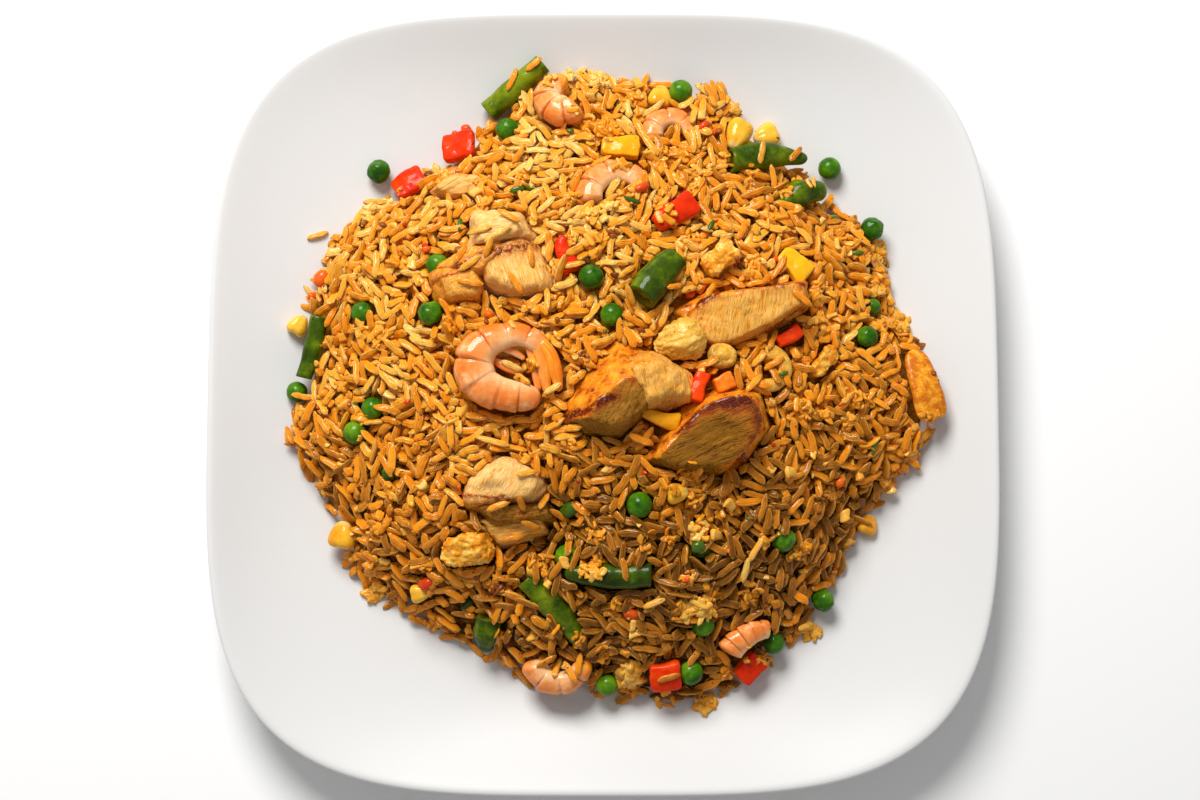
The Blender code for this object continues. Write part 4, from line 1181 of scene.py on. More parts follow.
def make_slices(look, bed, name, table, finish, seed):
    """Pieces of pepper or carrot: the skin is outside and the paler flesh shows on the cut sides."""
    gather = Gather()
    chance = np.random.default_rng(look.seed + seed)
    for i, (node, (turn, length, width, thickness, taper, curl)) in enumerate(table.items()):
        middle, _ = node_middle(node)
        planes = block_planes(length, width, thickness, taper)
        points, faces, below, _ = cut_block(18, (length, width, thickness), planes, 9.0)
        side = 1.0 - np.abs(points[:, 2]) / (thickness / 2)
        points[:, 2] -= curl * ((points[:, 1] / (width / 2)) ** 2 - 0.4)
        points[:, 2] += 0.4 * curl * np.sin(points[:, 0] / length * 4 + i)
        points = points + outward(points, faces) * (0.26 * rough(points + 4.1 * i, 3.5, seed + i, 3))[:, None]
        points[:, 1] += 0.35 * np.sin(points[:, 0] / length * 5 + 2.0 * i)
        tip = bed.lean(middle[0], middle[1], length / 3)
        inner = np.clip(side * 1.2 + below - 0.25, 0.0, 1.0)
        middle = middle + np.array(SLICE_SHIFTS.get(node, (0.0, 0.0, 0.0)))
        gather.add(turned(points, turn, tip) + middle, faces, tint=chance.random(), inner=inner)
    return gather.make(name, finish, list(table))


def make_peppers(look, bed):
    """Red pepper, yellow pepper and carrot."""
    red = tuple(look.red_pepper)
    deep = tuple(channel * 0.60 for channel in red)
    finish = skin_finish("red_pepper_skin", (deep, red, (0.92, 0.08, 0.002)), 190.0, 1.9, (0.40, 0.24),
                         0.20, 0.07, 0.03, 0.00030, 300.0, (0.86, 0.075, 0.003))
    made = [make_slices(look, bed, "red_peppers", PEPPER_SHAPES, finish, 3)]
    gold = tuple(look.yellow_pepper)
    finish = skin_finish("yellow_pepper_skin", ((0.90, 0.32, 0.003), gold, (0.98, 0.52, 0.012)), 190.0,
                         1.9, (0.34, 0.18), 0.35, 0.10, 0.12, 0.00030, 300.0, (0.95, 0.50, 0.04))
    made.append(make_slices(look, bed, "yellow_peppers", YELLOW_SHAPES, finish, 5))
    finish = skin_finish("carrot_flesh", ((0.72, 0.10, 0.003), (0.90, 0.17, 0.006), (0.94, 0.28, 0.015)),
                         400.0, 2.4, (0.40, 0.25), 0.4, 0.12, 0.12, 0.00016, 900.0, (0.90, 0.20, 0.010))
    made.append(make_slices(look, bed, "carrot", CARROT_SHAPES, finish, 7))
    return made


def egg_finish(colour):
    """Soft scrambled egg: curds from pale to deep yellow, browned in places."""
    made, tree, shader, where = new_finish("scrambled_egg", 0.42, coat=0.35, coat_roughness=0.18,
                                           sheen_through=0.15, depth=0.0015)
    patch = placed(tree, mottle_group(), Vector=where, Scale=300.0, Contrast=2.8)["Mask"]
    shade = sums(tree, "SUBTRACT", patch, sums(tree, "MULTIPLY", point_value(tree, "brown"), 0.35), True)
    light = (0.97, 0.66, 0.20)
    join(tree, ramp(tree, shade, ((0.0, (0.62, 0.16, 0.006)), (0.3, (0.88, 0.30, 0.010)), (0.58, colour),
                                  (0.9, light))), shader["Base Color"])
    film = placed(tree, oil_group(), Vector=where, Scale=240.0, Dry=0.5, Wet=0.28)
    join(tree, film["Roughness"], shader["Roughness"])
    join(tree, placed(tree, relief_group(), Vector=where, Scale=900.0, Height=0.0004)["Normal"],
         shader["Normal"])
    return made


def make_egg(look, bed):
    """Larger pieces of scrambled egg."""
    gather = Gather()
    for i, (node, (turn, length, width, height, lumpy, brown)) in enumerate(EGG_SHAPES.items()):
        middle, _ = node_middle(node)
        points, faces, _, _ = cut_block(24, (length, width, height), block_planes(length, width, height, 0.3), 4.0)
        normals = outward(points, faces)
        push = lumpy * (0.8 * rough(points + 6.3 * i, 4.5, 70 + i, 3) + 0.6 * np.abs(rough(points, 1.8, 80 + i, 2)) - 0.3)
        points = points + normals * push[:, None]
        points[:, 2] += 0.9 * np.sin(points[:, 0] / length * 5.0 + i) - 1.6 * (points[:, 1] / width) ** 2
        tip = bed.lean(middle[0], middle[1], length / 3)
        gather.add(turned(points, turn, tip) + middle, faces, brown=brown)
    return gather.make("scrambled_egg", egg_finish(tuple(look.egg)), list(EGG_SHAPES))


def make_mushrooms(look, bed):
    """A mushroom cap, a small stem end and a curved slice."""
    gather = Gather()
    middle, _ = node_middle("mushroom_1")
    points, faces = ball_grid(18)
    narrow = 1.0 + 0.42 * points[:, 0]
    shape = points * np.array((17.6, 12.4, 10.0)) / 2
    shape[:, 1] *= narrow
    shape[:, 2] *= narrow
    shape = shape + points * (0.7 * rough(points * 5.0, 2.6, 91, 3) + 0.9 * np.abs(rough(points * 5.0, 1.1, 92)))[:, None]
    tip = bed.lean(middle[0], middle[1], 8)
    gather.add(turned(shape, 14, tip) + middle, faces, tint=0.60, inner=0.0)
    middle, _ = node_middle("mushroom_2")
    points, faces = ball_grid(14)
    shape = points * np.array((10.0, 9.0, 5.4)) / 2
    distance = np.hypot(points[:, 0], points[:, 1])
    above = points[:, 2] > 0
    shape[:, 2] += above * (-0.5 * np.exp(-((distance - 0.55) / 0.14) ** 2) + 0.3 * np.exp(-(distance / 0.3) ** 2))
    shape += points * (0.3 * rough(points * 4.0, 2.2, 95, 2))[:, None]
    gather.add(turned(shape, 0, bed.lean(middle[0], middle[1], 5)) + middle, faces, tint=0.1,
               inner=np.exp(-(distance / 0.3) ** 2) * above)
    middle, _ = node_middle("mushroom_3")
    points, faces, values = shrimp_points(*arc_path(5.4, 3.0, 2.4, 100, -220), 1, 0.0, 9)
    points = points @ bed.lean(middle[0], middle[1], 6).T
    points += middle - (points.max(axis=0) + points.min(axis=0)) / 2 - (0.0, 0.0, 1.5)
    gather.add(points, faces, tint=0.6, inner=1.0 - values["back"])
    cream = tuple(look.mushroom)
    finish = skin_finish("mushroom_flesh", (tuple(c * 0.50 for c in cream), cream, (0.95, 0.60, 0.15)),
                         260.0, 2.8, (0.50, 0.34), 0.3, 0.12, 0.06, 0.0007, 700.0, (0.80, 0.40, 0.05))
    return gather.make("mushrooms", finish, ["mushroom_1", "mushroom_2", "mushroom_3"])


# ---------------------------------------------------------------- plate and rice

def make_plate(look):
    """The plate: a turned section whose rings grow from a circle to a rounded square."""
    upper = smooth_through(UPPER_SIDE, 5)
    lip = smooth_through((UPPER_SIDE[-1],) + LIP, 4)[1:]
    lower = smooth_through((LIP[-1],) + LOWER_SIDE, 6)[1:]
    foot = smooth_through((LOWER_SIDE[-1],) + FOOT, 4)[1:]
    section = np.vstack([upper, lip, lower, foot, smooth_through((FOOT[-1], (38.0, 2.4), (0.0, 2.4)), 2)[1:]])
    sectors = look.sectors
    angle = np.arange(sectors) * 2 * math.pi / sectors
    rings = section[1:-1]
    radius = rings[:, :1] * ring_stretch(rings[:, :1], angle[None, :])
    points = np.stack([radius * np.cos(angle), radius * np.sin(angle),
                       np.broadcast_to(rings[:, 1:], radius.shape)], axis=2).reshape(-1, 3)
    points = np.vstack([points, (0.0, 0.0, section[0, 1]), (0.0, 0.0, section[-1, 1])])
    faces = []
    for i in range(len(rings) - 1):
        for j in range(sectors):
            k = (j + 1) % sectors
            faces.append((i * sectors + j, (i + 1) * sectors + j, (i + 1) * sectors + k, i * sectors + k))
    last = (len(rings) - 1) * sectors
    top, bottom = len(points) - 2, len(points) - 1
    faces += [(top, j, (j + 1) % sectors) for j in range(sectors)]
    faces += [(bottom, last + (j + 1) % sectors, last + j) for j in range(sectors)]
    gather = Gather()
    gather.add(points, faces)
    return gather.make("plate_glazed", glaze_finish(tuple(look.colour), look.roughness), ["plate"])


def make_core(look, bed):
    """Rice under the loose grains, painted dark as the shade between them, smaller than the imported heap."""
    sectors, rings = 220, 96
    angle = np.arange(sectors) * 2 * math.pi / sectors
    share = np.sqrt((np.arange(rings) + 0.5) / rings)
    edge = rim_at(bed, angle) - look.inset
    x = (share[:, None] * edge[None, :] * np.cos(angle)).ravel()
    y = (share[:, None] * edge[None, :] * np.sin(angle)).ravel()
    iy, ix = bed.cell(x, y)
    floor = bed.floor[iy, ix]
    flat = np.stack([x, y, np.zeros(len(x))], axis=1)
    level = bed.rice[iy, ix] - look.depth + 0.7 * rough(flat, 4.0, 5, 3)
    for hx, hy, wide, deep in SAUCE_HOLLOWS:
        level -= deep * np.exp(-((x - hx) ** 2 + (y - hy) ** 2) / wide ** 2)
    level = np.maximum(level, floor + 0.6)
    level[-sectors:] = floor[-sectors:] + 0.5
    upper = np.stack([x, y, level], axis=1)
    lower = np.stack([x[-sectors:], y[-sectors:], floor[-sectors:] + 0.15], axis=1)
    points = np.vstack([upper, lower, (0.0, 0.0, level[:sectors].mean()), (0.0, 0.0, WELL_FLOOR + 0.15)])
    faces = []
    for i in range(rings):
        for j in range(sectors):
            k = (j + 1) % sectors
            faces.append((i * sectors + j, (i + 1) * sectors + j, (i + 1) * sectors + k, i * sectors + k))
    top, bottom, last = len(points) - 2, len(points) - 1, rings * sectors
    faces += [(top, j, (j + 1) % sectors) for j in range(sectors)]
    faces += [(bottom, last + (j + 1) % sectors, last + j) for j in range(sectors)]
    gather = Gather()
    gather.add(points, faces, stain=[sauce_and_shade_share(px, py) for px, py, _ in points])
    core = gather.make("rice_core", core_finish(tuple(look.brown)), ["rice_heap"])
    bed.cover(core)
    return core


def grain_shape(name, bend, ends, squareness, slants=(0.0, 0.0), sides=8, rings=6):
    """One grain of unit half length, width and thickness lying along X.

    Its points know where along, across and up the grain they lie."""
    t = -np.cos(np.linspace(0.15, 0.85, rings) * math.pi) / math.cos(0.15 * math.pi) * 0.94
    full = np.array([(1.0 - abs(v) ** (ends[0] if v < 0 else ends[1])) ** 0.5 for v in t])
    points, places = [], []
    for i, v in enumerate(t):
        for j in range(sides):
            turn = (j + 0.5 * (i % 2)) * 2 * math.pi / sides
            y, z = (math.copysign(abs(c) ** squareness, c) for c in (math.cos(turn), math.sin(turn)))
            slant = slants[0 if v < 0 else 1] * y * abs(v) ** 5
            points.append((v + slant, full[i] * y + bend * (v * v - 0.4), full[i] * z))
            places.append((v, y, z))
    points += [(-1.0, bend * 0.6, 0.0), (1.0, bend * 0.6, 0.0)]
    places += [(-1.0, 0.0, 0.0), (1.0, 0.0, 0.0)]
    faces = []
    for i in range(rings - 1):
        for j in range(sides):
            k = (j + 1) % sides
            faces.append((i * sides + j, (i + 1) * sides + j, (i + 1) * sides + k, i * sides + k))
    last = (rings - 1) * sides
    faces += [(len(points) - 2, j, (j + 1) % sides) for j in range(sides)]
    faces += [(len(points) - 1, last + (j + 1) % sides, last + j) for j in range(sides)]
    mesh = bpy.data.meshes.new(name)
    mesh.from_pydata(points, [], faces)
    inside = mesh.attributes.new("inside", "FLOAT_VECTOR", "POINT")
    inside.data.foreach_set("vector", np.array(places, np.float32).ravel())
    return bpy.data.objects.new(name, mesh)


def crumb_shape(name, seed, uneven, ragged=0.0, cuts=3):
    """One crumb of unit half size, lumpy or, where ragged, an angular bent shred."""
    points, faces = ball_grid(cuts)
    points = points * (1.0 + uneven * lumps(points * 3.0, 1.6, seed))[:, None]
    if ragged:
        points = np.sign(points) * np.abs(points) ** (1.0 - 0.45 * ragged)
        points[:, 2] += ragged * (0.9 * points[:, 0] ** 2 - 0.4)
        points[:, 1] += ragged * 0.5 * np.sin(points[:, 0] * 2.2 + seed)
    mesh = bpy.data.meshes.new(name)
    mesh.from_pydata(points.tolist(), [], faces)
    return bpy.data.objects.new(name, mesh)


def shape_kit(name, shapes):
    """Collection of the shapes that a scatter picks from; it is kept out of the scene."""
    kit = bpy.data.collections.new(name)
    for shape in shapes:
        kit.objects.link(shape)
    return kit


def scatter_tree():
    """Geometry nodes that put a shape from a collection on every point, as one plain mesh.

    A point says which shape, how it is turned and its half sizes; its tint and its value of browning and painted shade
    go with it."""
    found = bpy.data.node_groups.get("Scatter Food")
    if found:
        return found
    tree = bpy.data.node_groups.new("Scatter Food", "GeometryNodeTree")
    for label, kind in (("Geometry", "NodeSocketGeometry"), ("Shapes", "NodeSocketCollection"),
                        ("Tint Variation", "NodeSocketFloat"), ("Unevenness", "NodeSocketFloat"),
                        ("Seed", "NodeSocketInt"), ("Material", "NodeSocketMaterial")):
        tree.interface.new_socket(name=label, in_out="INPUT", socket_type=kind)
    tree.interface.new_socket(name="Geometry", in_out="OUTPUT", socket_type="NodeSocketGeometry")
    given = tree.nodes.new("NodeGroupInput").outputs
    made = tree.nodes.new("NodeGroupOutput").inputs

    def stored(name, kind):
        node = tree.nodes.new("GeometryNodeInputNamedAttribute")
        node.data_type = kind
        node.inputs["Name"].default_value = name
        return node.outputs["Attribute"]

    shapes = tree.nodes.new("GeometryNodeCollectionInfo")
    tree.links.new(given["Shapes"], shapes.inputs["Collection"])
    shapes.inputs["Separate Children"].default_value = True
    shapes.inputs["Reset Children"].default_value = True
    turn = tree.nodes.new("FunctionNodeEulerToRotation")
    tree.links.new(stored("turn", "FLOAT_VECTOR"), turn.inputs[0])
    onto = tree.nodes.new("GeometryNodeInstanceOnPoints")
    onto.inputs["Pick Instance"].default_value = True
    tree.links.new(given["Geometry"], onto.inputs["Points"])
    tree.links.new(shapes.outputs[0], onto.inputs["Instance"])
    tree.links.new(stored("shape", "INT"), onto.inputs["Instance Index"])
    tree.links.new(turn.outputs[0], onto.inputs["Rotation"])
    tree.links.new(stored("size", "FLOAT_VECTOR"), onto.inputs["Scale"])
    chance = tree.nodes.new("FunctionNodeRandomValue")
    chance.data_type = "FLOAT"
    floats = [socket for socket in chance.inputs if socket.type == "VALUE"]
    floats[0].default_value = 0.0
    tree.links.new(given["Tint Variation"], floats[1])
    tree.links.new(given["Seed"], chance.inputs["Seed"])
    tint = tree.nodes.new("GeometryNodeStoreNamedAttribute")
    tint.data_type = "FLOAT"
    tint.domain = "INSTANCE"
    tint.inputs["Name"].default_value = "tint"
    tree.links.new(onto.outputs["Instances"], tint.inputs["Geometry"])
    tree.links.new([s for s in chance.outputs if s.type == "VALUE"][0], tint.inputs["Value"])
    real = tree.nodes.new("GeometryNodeRealizeInstances")
    tree.links.new(tint.outputs["Geometry"], real.inputs["Geometry"])
    uneven = tree.nodes.new("ShaderNodeTexNoise")
    uneven.inputs["Scale"].default_value = 240.0
    uneven.inputs["Detail"].default_value = 1.0
    centred = tree.nodes.new("ShaderNodeVectorMath")
    centred.operation = "SUBTRACT"
    tree.links.new(uneven.outputs["Color"], centred.inputs[0])
    centred.inputs[1].default_value = (0.5, 0.5, 0.5)
    pushed = tree.nodes.new("ShaderNodeVectorMath")
    pushed.operation = "SCALE"
    tree.links.new(centred.outputs[0], pushed.inputs[0])
    tree.links.new(given["Unevenness"], pushed.inputs["Scale"])
    bent = tree.nodes.new("GeometryNodeSetPosition")
    tree.links.new(real.outputs[0], bent.inputs["Geometry"])
    tree.links.new(pushed.outputs[0], bent.inputs["Offset"])
    smooth = tree.nodes.new("GeometryNodeSetShadeSmooth")
    tree.links.new(bent.outputs[0], smooth.inputs[0])
    clad = tree.nodes.new("GeometryNodeSetMaterial")
    tree.links.new(smooth.outputs[0], clad.inputs["Geometry"])
    tree.links.new(given["Material"], clad.inputs["Material"])
    tree.links.new(clad.outputs[0], made["Geometry"])
    return tree


def scatter(name, finish, kit, seed, rows, variation=1.0, uneven=0.00065):
    """One plain piece of many small shapes; each row is (place, turn, half sizes, shape, browning and painted shade).
    """
    mesh = bpy.data.meshes.new(name + "_points")
    mesh.from_pydata([tuple(np.array(row[0]) * MM) for row in rows], [], [])
    for label, kind, field in (("turn", "FLOAT_VECTOR", 1), ("size", "FLOAT_VECTOR", 2)):
        layer = mesh.attributes.new(label, kind, "POINT")
        scale = MM if label == "size" else 1.0
        layer.data.foreach_set("vector", np.array([row[field] for row in rows], np.float32).ravel() * scale)
    layer = mesh.attributes.new("shape", "INT", "POINT")
    layer.data.foreach_set("value", [int(row[3]) for row in rows])
    layer = mesh.attributes.new("stain", "FLOAT", "POINT")
    layer.data.foreach_set("value", [float(row[4]) for row in rows])
    holder = bpy.data.objects.new(name + "_points", mesh)
    bpy.context.scene.collection.objects.link(holder)
    tree = scatter_tree()
    live = holder.modifiers.new("Scatter", "NODES")
    live.node_group = tree
    wanted = {"Shapes": kit, "Tint Variation": variation, "Unevenness": uneven, "Seed": seed,
              "Material": finish}
    for item in tree.interface.items_tree:
        if item.in_out == "INPUT" and item.name in wanted:
            live[item.identifier] = wanted[item.name]
    graph = bpy.context.evaluated_depsgraph_get()
    made = bpy.data.meshes.new_from_object(holder.evaluated_get(graph), depsgraph=graph)
    if not made.polygons:
        raise RuntimeError(f"{name}: the scatter made nothing")
    made.name = name
    holder.modifiers.clear()
    bpy.data.objects.remove(holder)
    bpy.data.meshes.remove(mesh)
    return finish_piece(name, made, finish)


# ---------------------------------------------------------------- laying the grains

class Layer:
    """Lays grains one at a time where the heap still lacks height, each at rest on what is below."""

    COARSE = 8
    REACH = 10

    def __init__(self, look, bed, covered):
        self.bed = bed
        self.look = look
        covered = wide_mean(covered.astype(float), 3) > 0.97
        self.covered = covered
        self.chance = np.random.default_rng(look.seed)
        angle = np.arctan2(bed.y, bed.x)
        distance = np.hypot(bed.x, bed.y)
        self.angle = angle
        flat = np.stack([bed.x.ravel(), bed.y.ravel(), np.zeros(bed.x.size)], axis=1)
        wave = (lumps(flat, 14.0, 3) + lumps(flat, 6.5, 4)).reshape(bed.x.shape)
        self.tone = (0.24 * lumps(flat, 22.0, 12) + 0.22 * lumps(flat, 9.0, 13)).reshape(bed.x.shape)
        ragged = rim_at(bed, angle) + 1.0 + 1.6 * lumps(flat, 6.0, 8).reshape(bed.x.shape)
        inside = distance < ragged
        slope = bed.floor + 1.7 + np.clip(ragged - distance, 0.0, None) * 1.1
        self.target = np.where(inside, np.minimum(np.maximum(bed.rice, bed.floor + 1.6) + 1.1 * wave, slope),
                               -1e3)
        for hx, hy, wide, deep in SAUCE_HOLLOWS:
            near = np.exp(-((bed.x - hx) ** 2 + (bed.y - hy) ** 2) / wide ** 2)
            self.target = self.target - near * deep * 0.8
        self.wanted = inside & ~covered
        count = len(bed.x) // self.COARSE
        self.count = count
        self.yaws = self.chance.random((count, count)) * math.pi
        self.ground = bed.height.copy()
        self.rows = []

    def weights(self):
        """How likely each coarse cell is to take the next grains, from the height it lacks."""
        lack = np.where(self.wanted, np.clip(self.target - self.bed.height, 0.0, None), 0.0)
        coarse = lack.reshape(self.count, self.COARSE, self.count, self.COARSE).mean(axis=(1, 3))
        weight = np.clip(coarse - 0.12, 0.0, None).ravel() ** 1.5
        return weight

    def rest(self, x, y, yaw, half, wide, thick):
        """Height of the middle and slope of a grain at rest there, and how much of it is on toppings."""
        s = np.linspace(-0.85, 0.85, 9)
        r = np.array((-0.65, 0.0, 0.65))
        cos, sin = math.cos(yaw), math.sin(yaw)
        px = x + half * s[:, None] * cos - wide * r[None, :] * sin
        py = y + half * s[:, None] * sin + wide * r[None, :] * cos
        iy, ix = self.bed.cell(px, py)
        belly = np.sqrt(np.clip(1.0 - s[:, None] ** 2 - r[None, :] ** 2, 0.02, 1.0))
        need = (self.bed.height[iy, ix] + thick * 0.86 * belly).max(axis=1)
        run = s * half
        left, right = slice(0, 4), slice(5, 9)
        gi, si = need[left][:, None], run[left][:, None]
        gj, sj = need[right][None, :], run[right][None, :]
        over = (gi * sj - gj * si) / (sj - si)
        best = np.unravel_index(np.argmax(over), over.shape)
        level = over[best]
        slope = (gj[0, best[1]] - gi[best[0], 0]) / (sj[0, best[1]] - si[best[0], 0])
        if need[4] > level:
            level = need[4]
            up = ((need[right] - level) / run[right]).max()
            down = ((need[left] - level) / run[left]).min()
            slope = up if abs(up) < abs(down) else down
        if abs(slope) > self.look.steepest:
            slope = math.copysign(self.look.steepest, slope)
            level = (need - slope * run).max()
        return level, slope, self.covered[iy, ix].mean()

    def press(self, x, y, level, slope, yaw, half, wide, thick):
        """Raise the heights to the top of a grain laid there."""
        iy, ix = self.bed.cell(x, y)
        reach = self.REACH
        rows = slice(max(iy - reach, 0), iy + reach + 1)
        columns = slice(max(ix - reach, 0), ix + reach + 1)
        dx, dy = self.bed.x[rows, columns] - x, self.bed.y[rows, columns] - y
        along = dx * math.cos(yaw) + dy * math.sin(yaw)
        across = dy * math.cos(yaw) - dx * math.sin(yaw)
        flat = half / math.hypot(1.0, slope)
        square = 1.0 - (along / flat) ** 2 - (across / wide) ** 2
        top = np.where(square > 0, level + slope * along + thick * np.sqrt(np.clip(square, 0, 1)), -1e3)
        patch = self.bed.height[rows, columns]
        np.maximum(patch, top, out=patch)

    def settle(self, x, y, level, pile):
        """Height of a small bit that clings to its neighbours and stands no more than pile above
        what lay there before the bits."""
        iy, ix = self.bed.cell(x, y)
        near = self.ground[max(iy - 2, 0):iy + 3, max(ix - 2, 0):ix + 3].mean()
        return min(level, near + pile)

    def put(self, x, y, yaw, half, wide, thick, shape, stain, sink=0.0):
        """Lay one grain there, whatever is below, and note it."""
        level, slope, _ = self.rest(x, y, yaw, half, wide, thick)
        level -= sink
        self.press(x, y, level, slope, yaw, half, wide, thick)
        roll = self.chance.normal(0.0, 0.35)
        self.rows.append(((x, y, level), (roll, -math.atan(slope), yaw), (half, wide, thick), shape, stain))

    def random_grain(self):
        """Half sizes and shape of a grain; some are broken."""
        chance = self.chance
        if chance.random() < self.look.broken:
            return chance.uniform(1.7, 2.9), chance.uniform(1.1, 1.6), chance.uniform(0.5, 0.8), 3
        half = chance.uniform(self.look.shortest, self.look.longest)
        return half, chance.uniform(1.02, 1.50), chance.uniform(0.56, 0.82), int(chance.integers(0, 3))

    def fill(self):
        """Lay grains until the heap is full or the wanted number is reached."""
        chance, bed, look = self.chance, self.bed, self.look
        tries = 6
        misses = 0
        while len(self.rows) < look.grains and misses < 4000:
            weight = self.weights()
            total = weight.sum()
            if total <= 1e-9:
                break
            picks = chance.choice(len(weight), size=40 * tries, p=weight / total)
            for group in picks.reshape(40, tries):
                half, wide, thick, shape = self.random_grain()
                best = None
                for cell in group:
                    cy, cx = divmod(int(cell), self.count)
                    x = (cx + chance.random()) * self.COARSE * bed.CELL - bed.HALF
                    y = (cy + chance.random()) * self.COARSE * bed.CELL - bed.HALF
                    yaw = (self.yaws[cy, cx] + chance.normal(0.0, 0.22) if chance.random() < look.bundled
                           else chance.random() * math.pi)
                    iy, ix = bed.cell(x, y)
                    target = self.target[iy, ix]
                    if target < 0:
                        continue
                    level, slope, on_top = self.rest(x, y, yaw, half, wide, thick)
                    lift = max(abs(slope) * half * 0.8 - 1.2, 0.0)
                    excess = level + lift + thick - target
                    if on_top > 0.35 or excess > look.proud + (1.0 if on_top > 0 else 0.0):
                        continue
                    if best is None or excess < best[0]:
                        best = (excess, x, y, level, slope, yaw, cy, cx, target)
                if best is None:
                    misses += 1
                    continue
                _, x, y, level, slope, yaw, cy, cx, target = best
                if chance.random() < look.askew:
                    slope += chance.normal(0.0, 0.32)
                self.press(x, y, level, slope, yaw, half, wide, thick)
                self.yaws[cy, cx] = yaw
                # Grains lying deeper than the heap's top are darkened, partly for sauce and partly as painted shade
                # under the grains above; the stored value also carries the painted shade of the near side.
                depth = np.clip((target - level - 1.0) / 4.0, 0.0, 1.0)
                stain = sauce_and_shade_share(x, y) + 0.30 * depth + self.tone[bed.cell(x, y)]
                self.rows.append(((x, y, level), (chance.normal(0.0, 0.35), -math.atan(slope), yaw),
                                  (half, wide, thick), shape, stain))
        return self.rows


def sauce_and_shade_share(x, y):
    """How brown the rice is painted in a place: pale on the far left, dark on the near side. The near side, the right
    and the near middle are darkened partly for sauce and partly as painted shade where the heap faces away from the
    key light; the pool is sauce alone.
    """
    near = 1.0 / (1.0 + math.exp((y + 12.0 - 0.05 * x) / 20.0))
    right = 1.0 / (1.0 + math.exp(-(x - 30.0) / 18.0))
    deep = math.exp(-((x - 8) ** 2 / 45 ** 2 + (y + 62) ** 2 / 26 ** 2))
    pool = math.exp(-((x + 8) ** 2 / 7 ** 2 + (y - 12) ** 2 / 5 ** 2))
    return 0.76 * near + 0.20 * right * (1 - near) + 0.42 * deep + 0.34 * pool - 0.12


OVERLAID = (                # (x, y, turn, half length, browning and painted shade): grains lying across the toppings
    (-31.5, 111.0, 65, 4.2, 0.1), (-24.0, 116.0, 40, 3.6, 0.3), (54.5, 83.5, 80, 4.2, 0.1),
    (66.5, 84.0, 50, 3.8, 0.2), (9.0, 30.2, 110, 4.2, 0.2), (22.0, -95.5, 15, 4.0, 0.2),
    (-16.5, -1.2, 30, 3.4, -0.5), (-25.0, -29.0, 10, 3.6, -0.5), (-36.7, -18.0, 165, 6.0, -0.25),
    (-30.0, 6.5, 155, 4.0, -0.4), (-26.5, 2.0, 140, 3.6, -0.1), (-99.3, 57.8, 20, 4.0, -0.1),
    (51.0, -53.0, 60, 5.0, -0.3), (47.5, -60.0, 75, 4.6, -0.2), (-44.0, 41.0, 35, 4.6, 0.1),
    (-35.0, 50.5, 30, 5.2, 0.0), (-29.0, 34.0, 120, 4.4, 0.2), (36.0, 33.0, 60, 4.2, 0.0),
    (17.0, -71.0, 20, 4.0, 0.1), (7.0, -60.0, 100, 4.0, 0.3), (-15.5, -92.0, 70, 4.4, 0.2),
    (-11.0, -93.5, 120, 4.2, 0.3), (-47.5, 44.5, 60, 4.4, 0.1), (-41.0, 52.0, 15, 4.2, 0.0),
    (-38.0, 46.0, 70, 3.8, 0.1), (-31.5, 57.0, 150, 4.6, -0.1), (-24.0, 43.5, 100, 4.0, 0.1),
    (-44.0, 34.5, 170, 4.4, 0.1), (24.0, 33.5, 20, 4.0, 0.1), (66.0, 29.5, 140, 4.4, 0.2),
    (57.0, 8.5, 30, 4.0, 0.2), (61.0, 4.0, 110, 4.0, 0.2), (-19.0, -90.0, 30, 4.0, 0.2), (-8.0, -91.0, 80, 4.0, 0.3),
    (-34.5, -39.5, 20, 4.2, 0.1), (-24.0, -45.5, 160, 4.0, 0.2), (-19.5, -37.5, 60, 4.0, 0.3),
    (-30.0, -49.5, 10, 3.8, 0.2), (-27.0, -38.5, 110, 3.6, 0.0), (-14.5, -42.0, 150, 4.2, 0.3))


def make_grains(look, bed, covered):
    """All the loose rice, in pieces small enough to handle."""
    layer = Layer(look, bed, covered)
    layer.fill()
    for x, y, turn, half, stain in OVERLAID:
        layer.put(x, y, math.radians(turn), half, 1.15, 0.85, 0, stain, 0.2)
    kit = shape_kit("Rice shapes", [
        grain_shape("grain_1", 0.10, (4.0, 2.6), 0.85, (0.10, 0.0)),
        grain_shape("grain_2", 0.55, (5.5, 3.2), 0.80, (0.14, -0.06)),
        grain_shape("grain_3", -0.35, (7.0, 3.8), 0.75, (-0.16, 0.10)),
        grain_shape("grain_4", 0.10, (10.0, 5.0), 0.7, (0.25, 0.30))])
    finish = grain_finish(tuple(look.pale), tuple(look.gold), tuple(look.brown), look.oil)
    rows = sorted(layer.rows, key=lambda row: math.atan2(row[0][1], row[0][0]))
    pieces = []
    share = -(-len(rows) // 3)
    for i in range(3):
        part = rows[i * share:(i + 1) * share]
        pieces.append(scatter(f"rice_grains_{i + 1}", finish, kit, look.seed + i, part))
    print(f"rice: {len(rows)} grains")
    return pieces


# ---------------------------------------------------------------- small bits

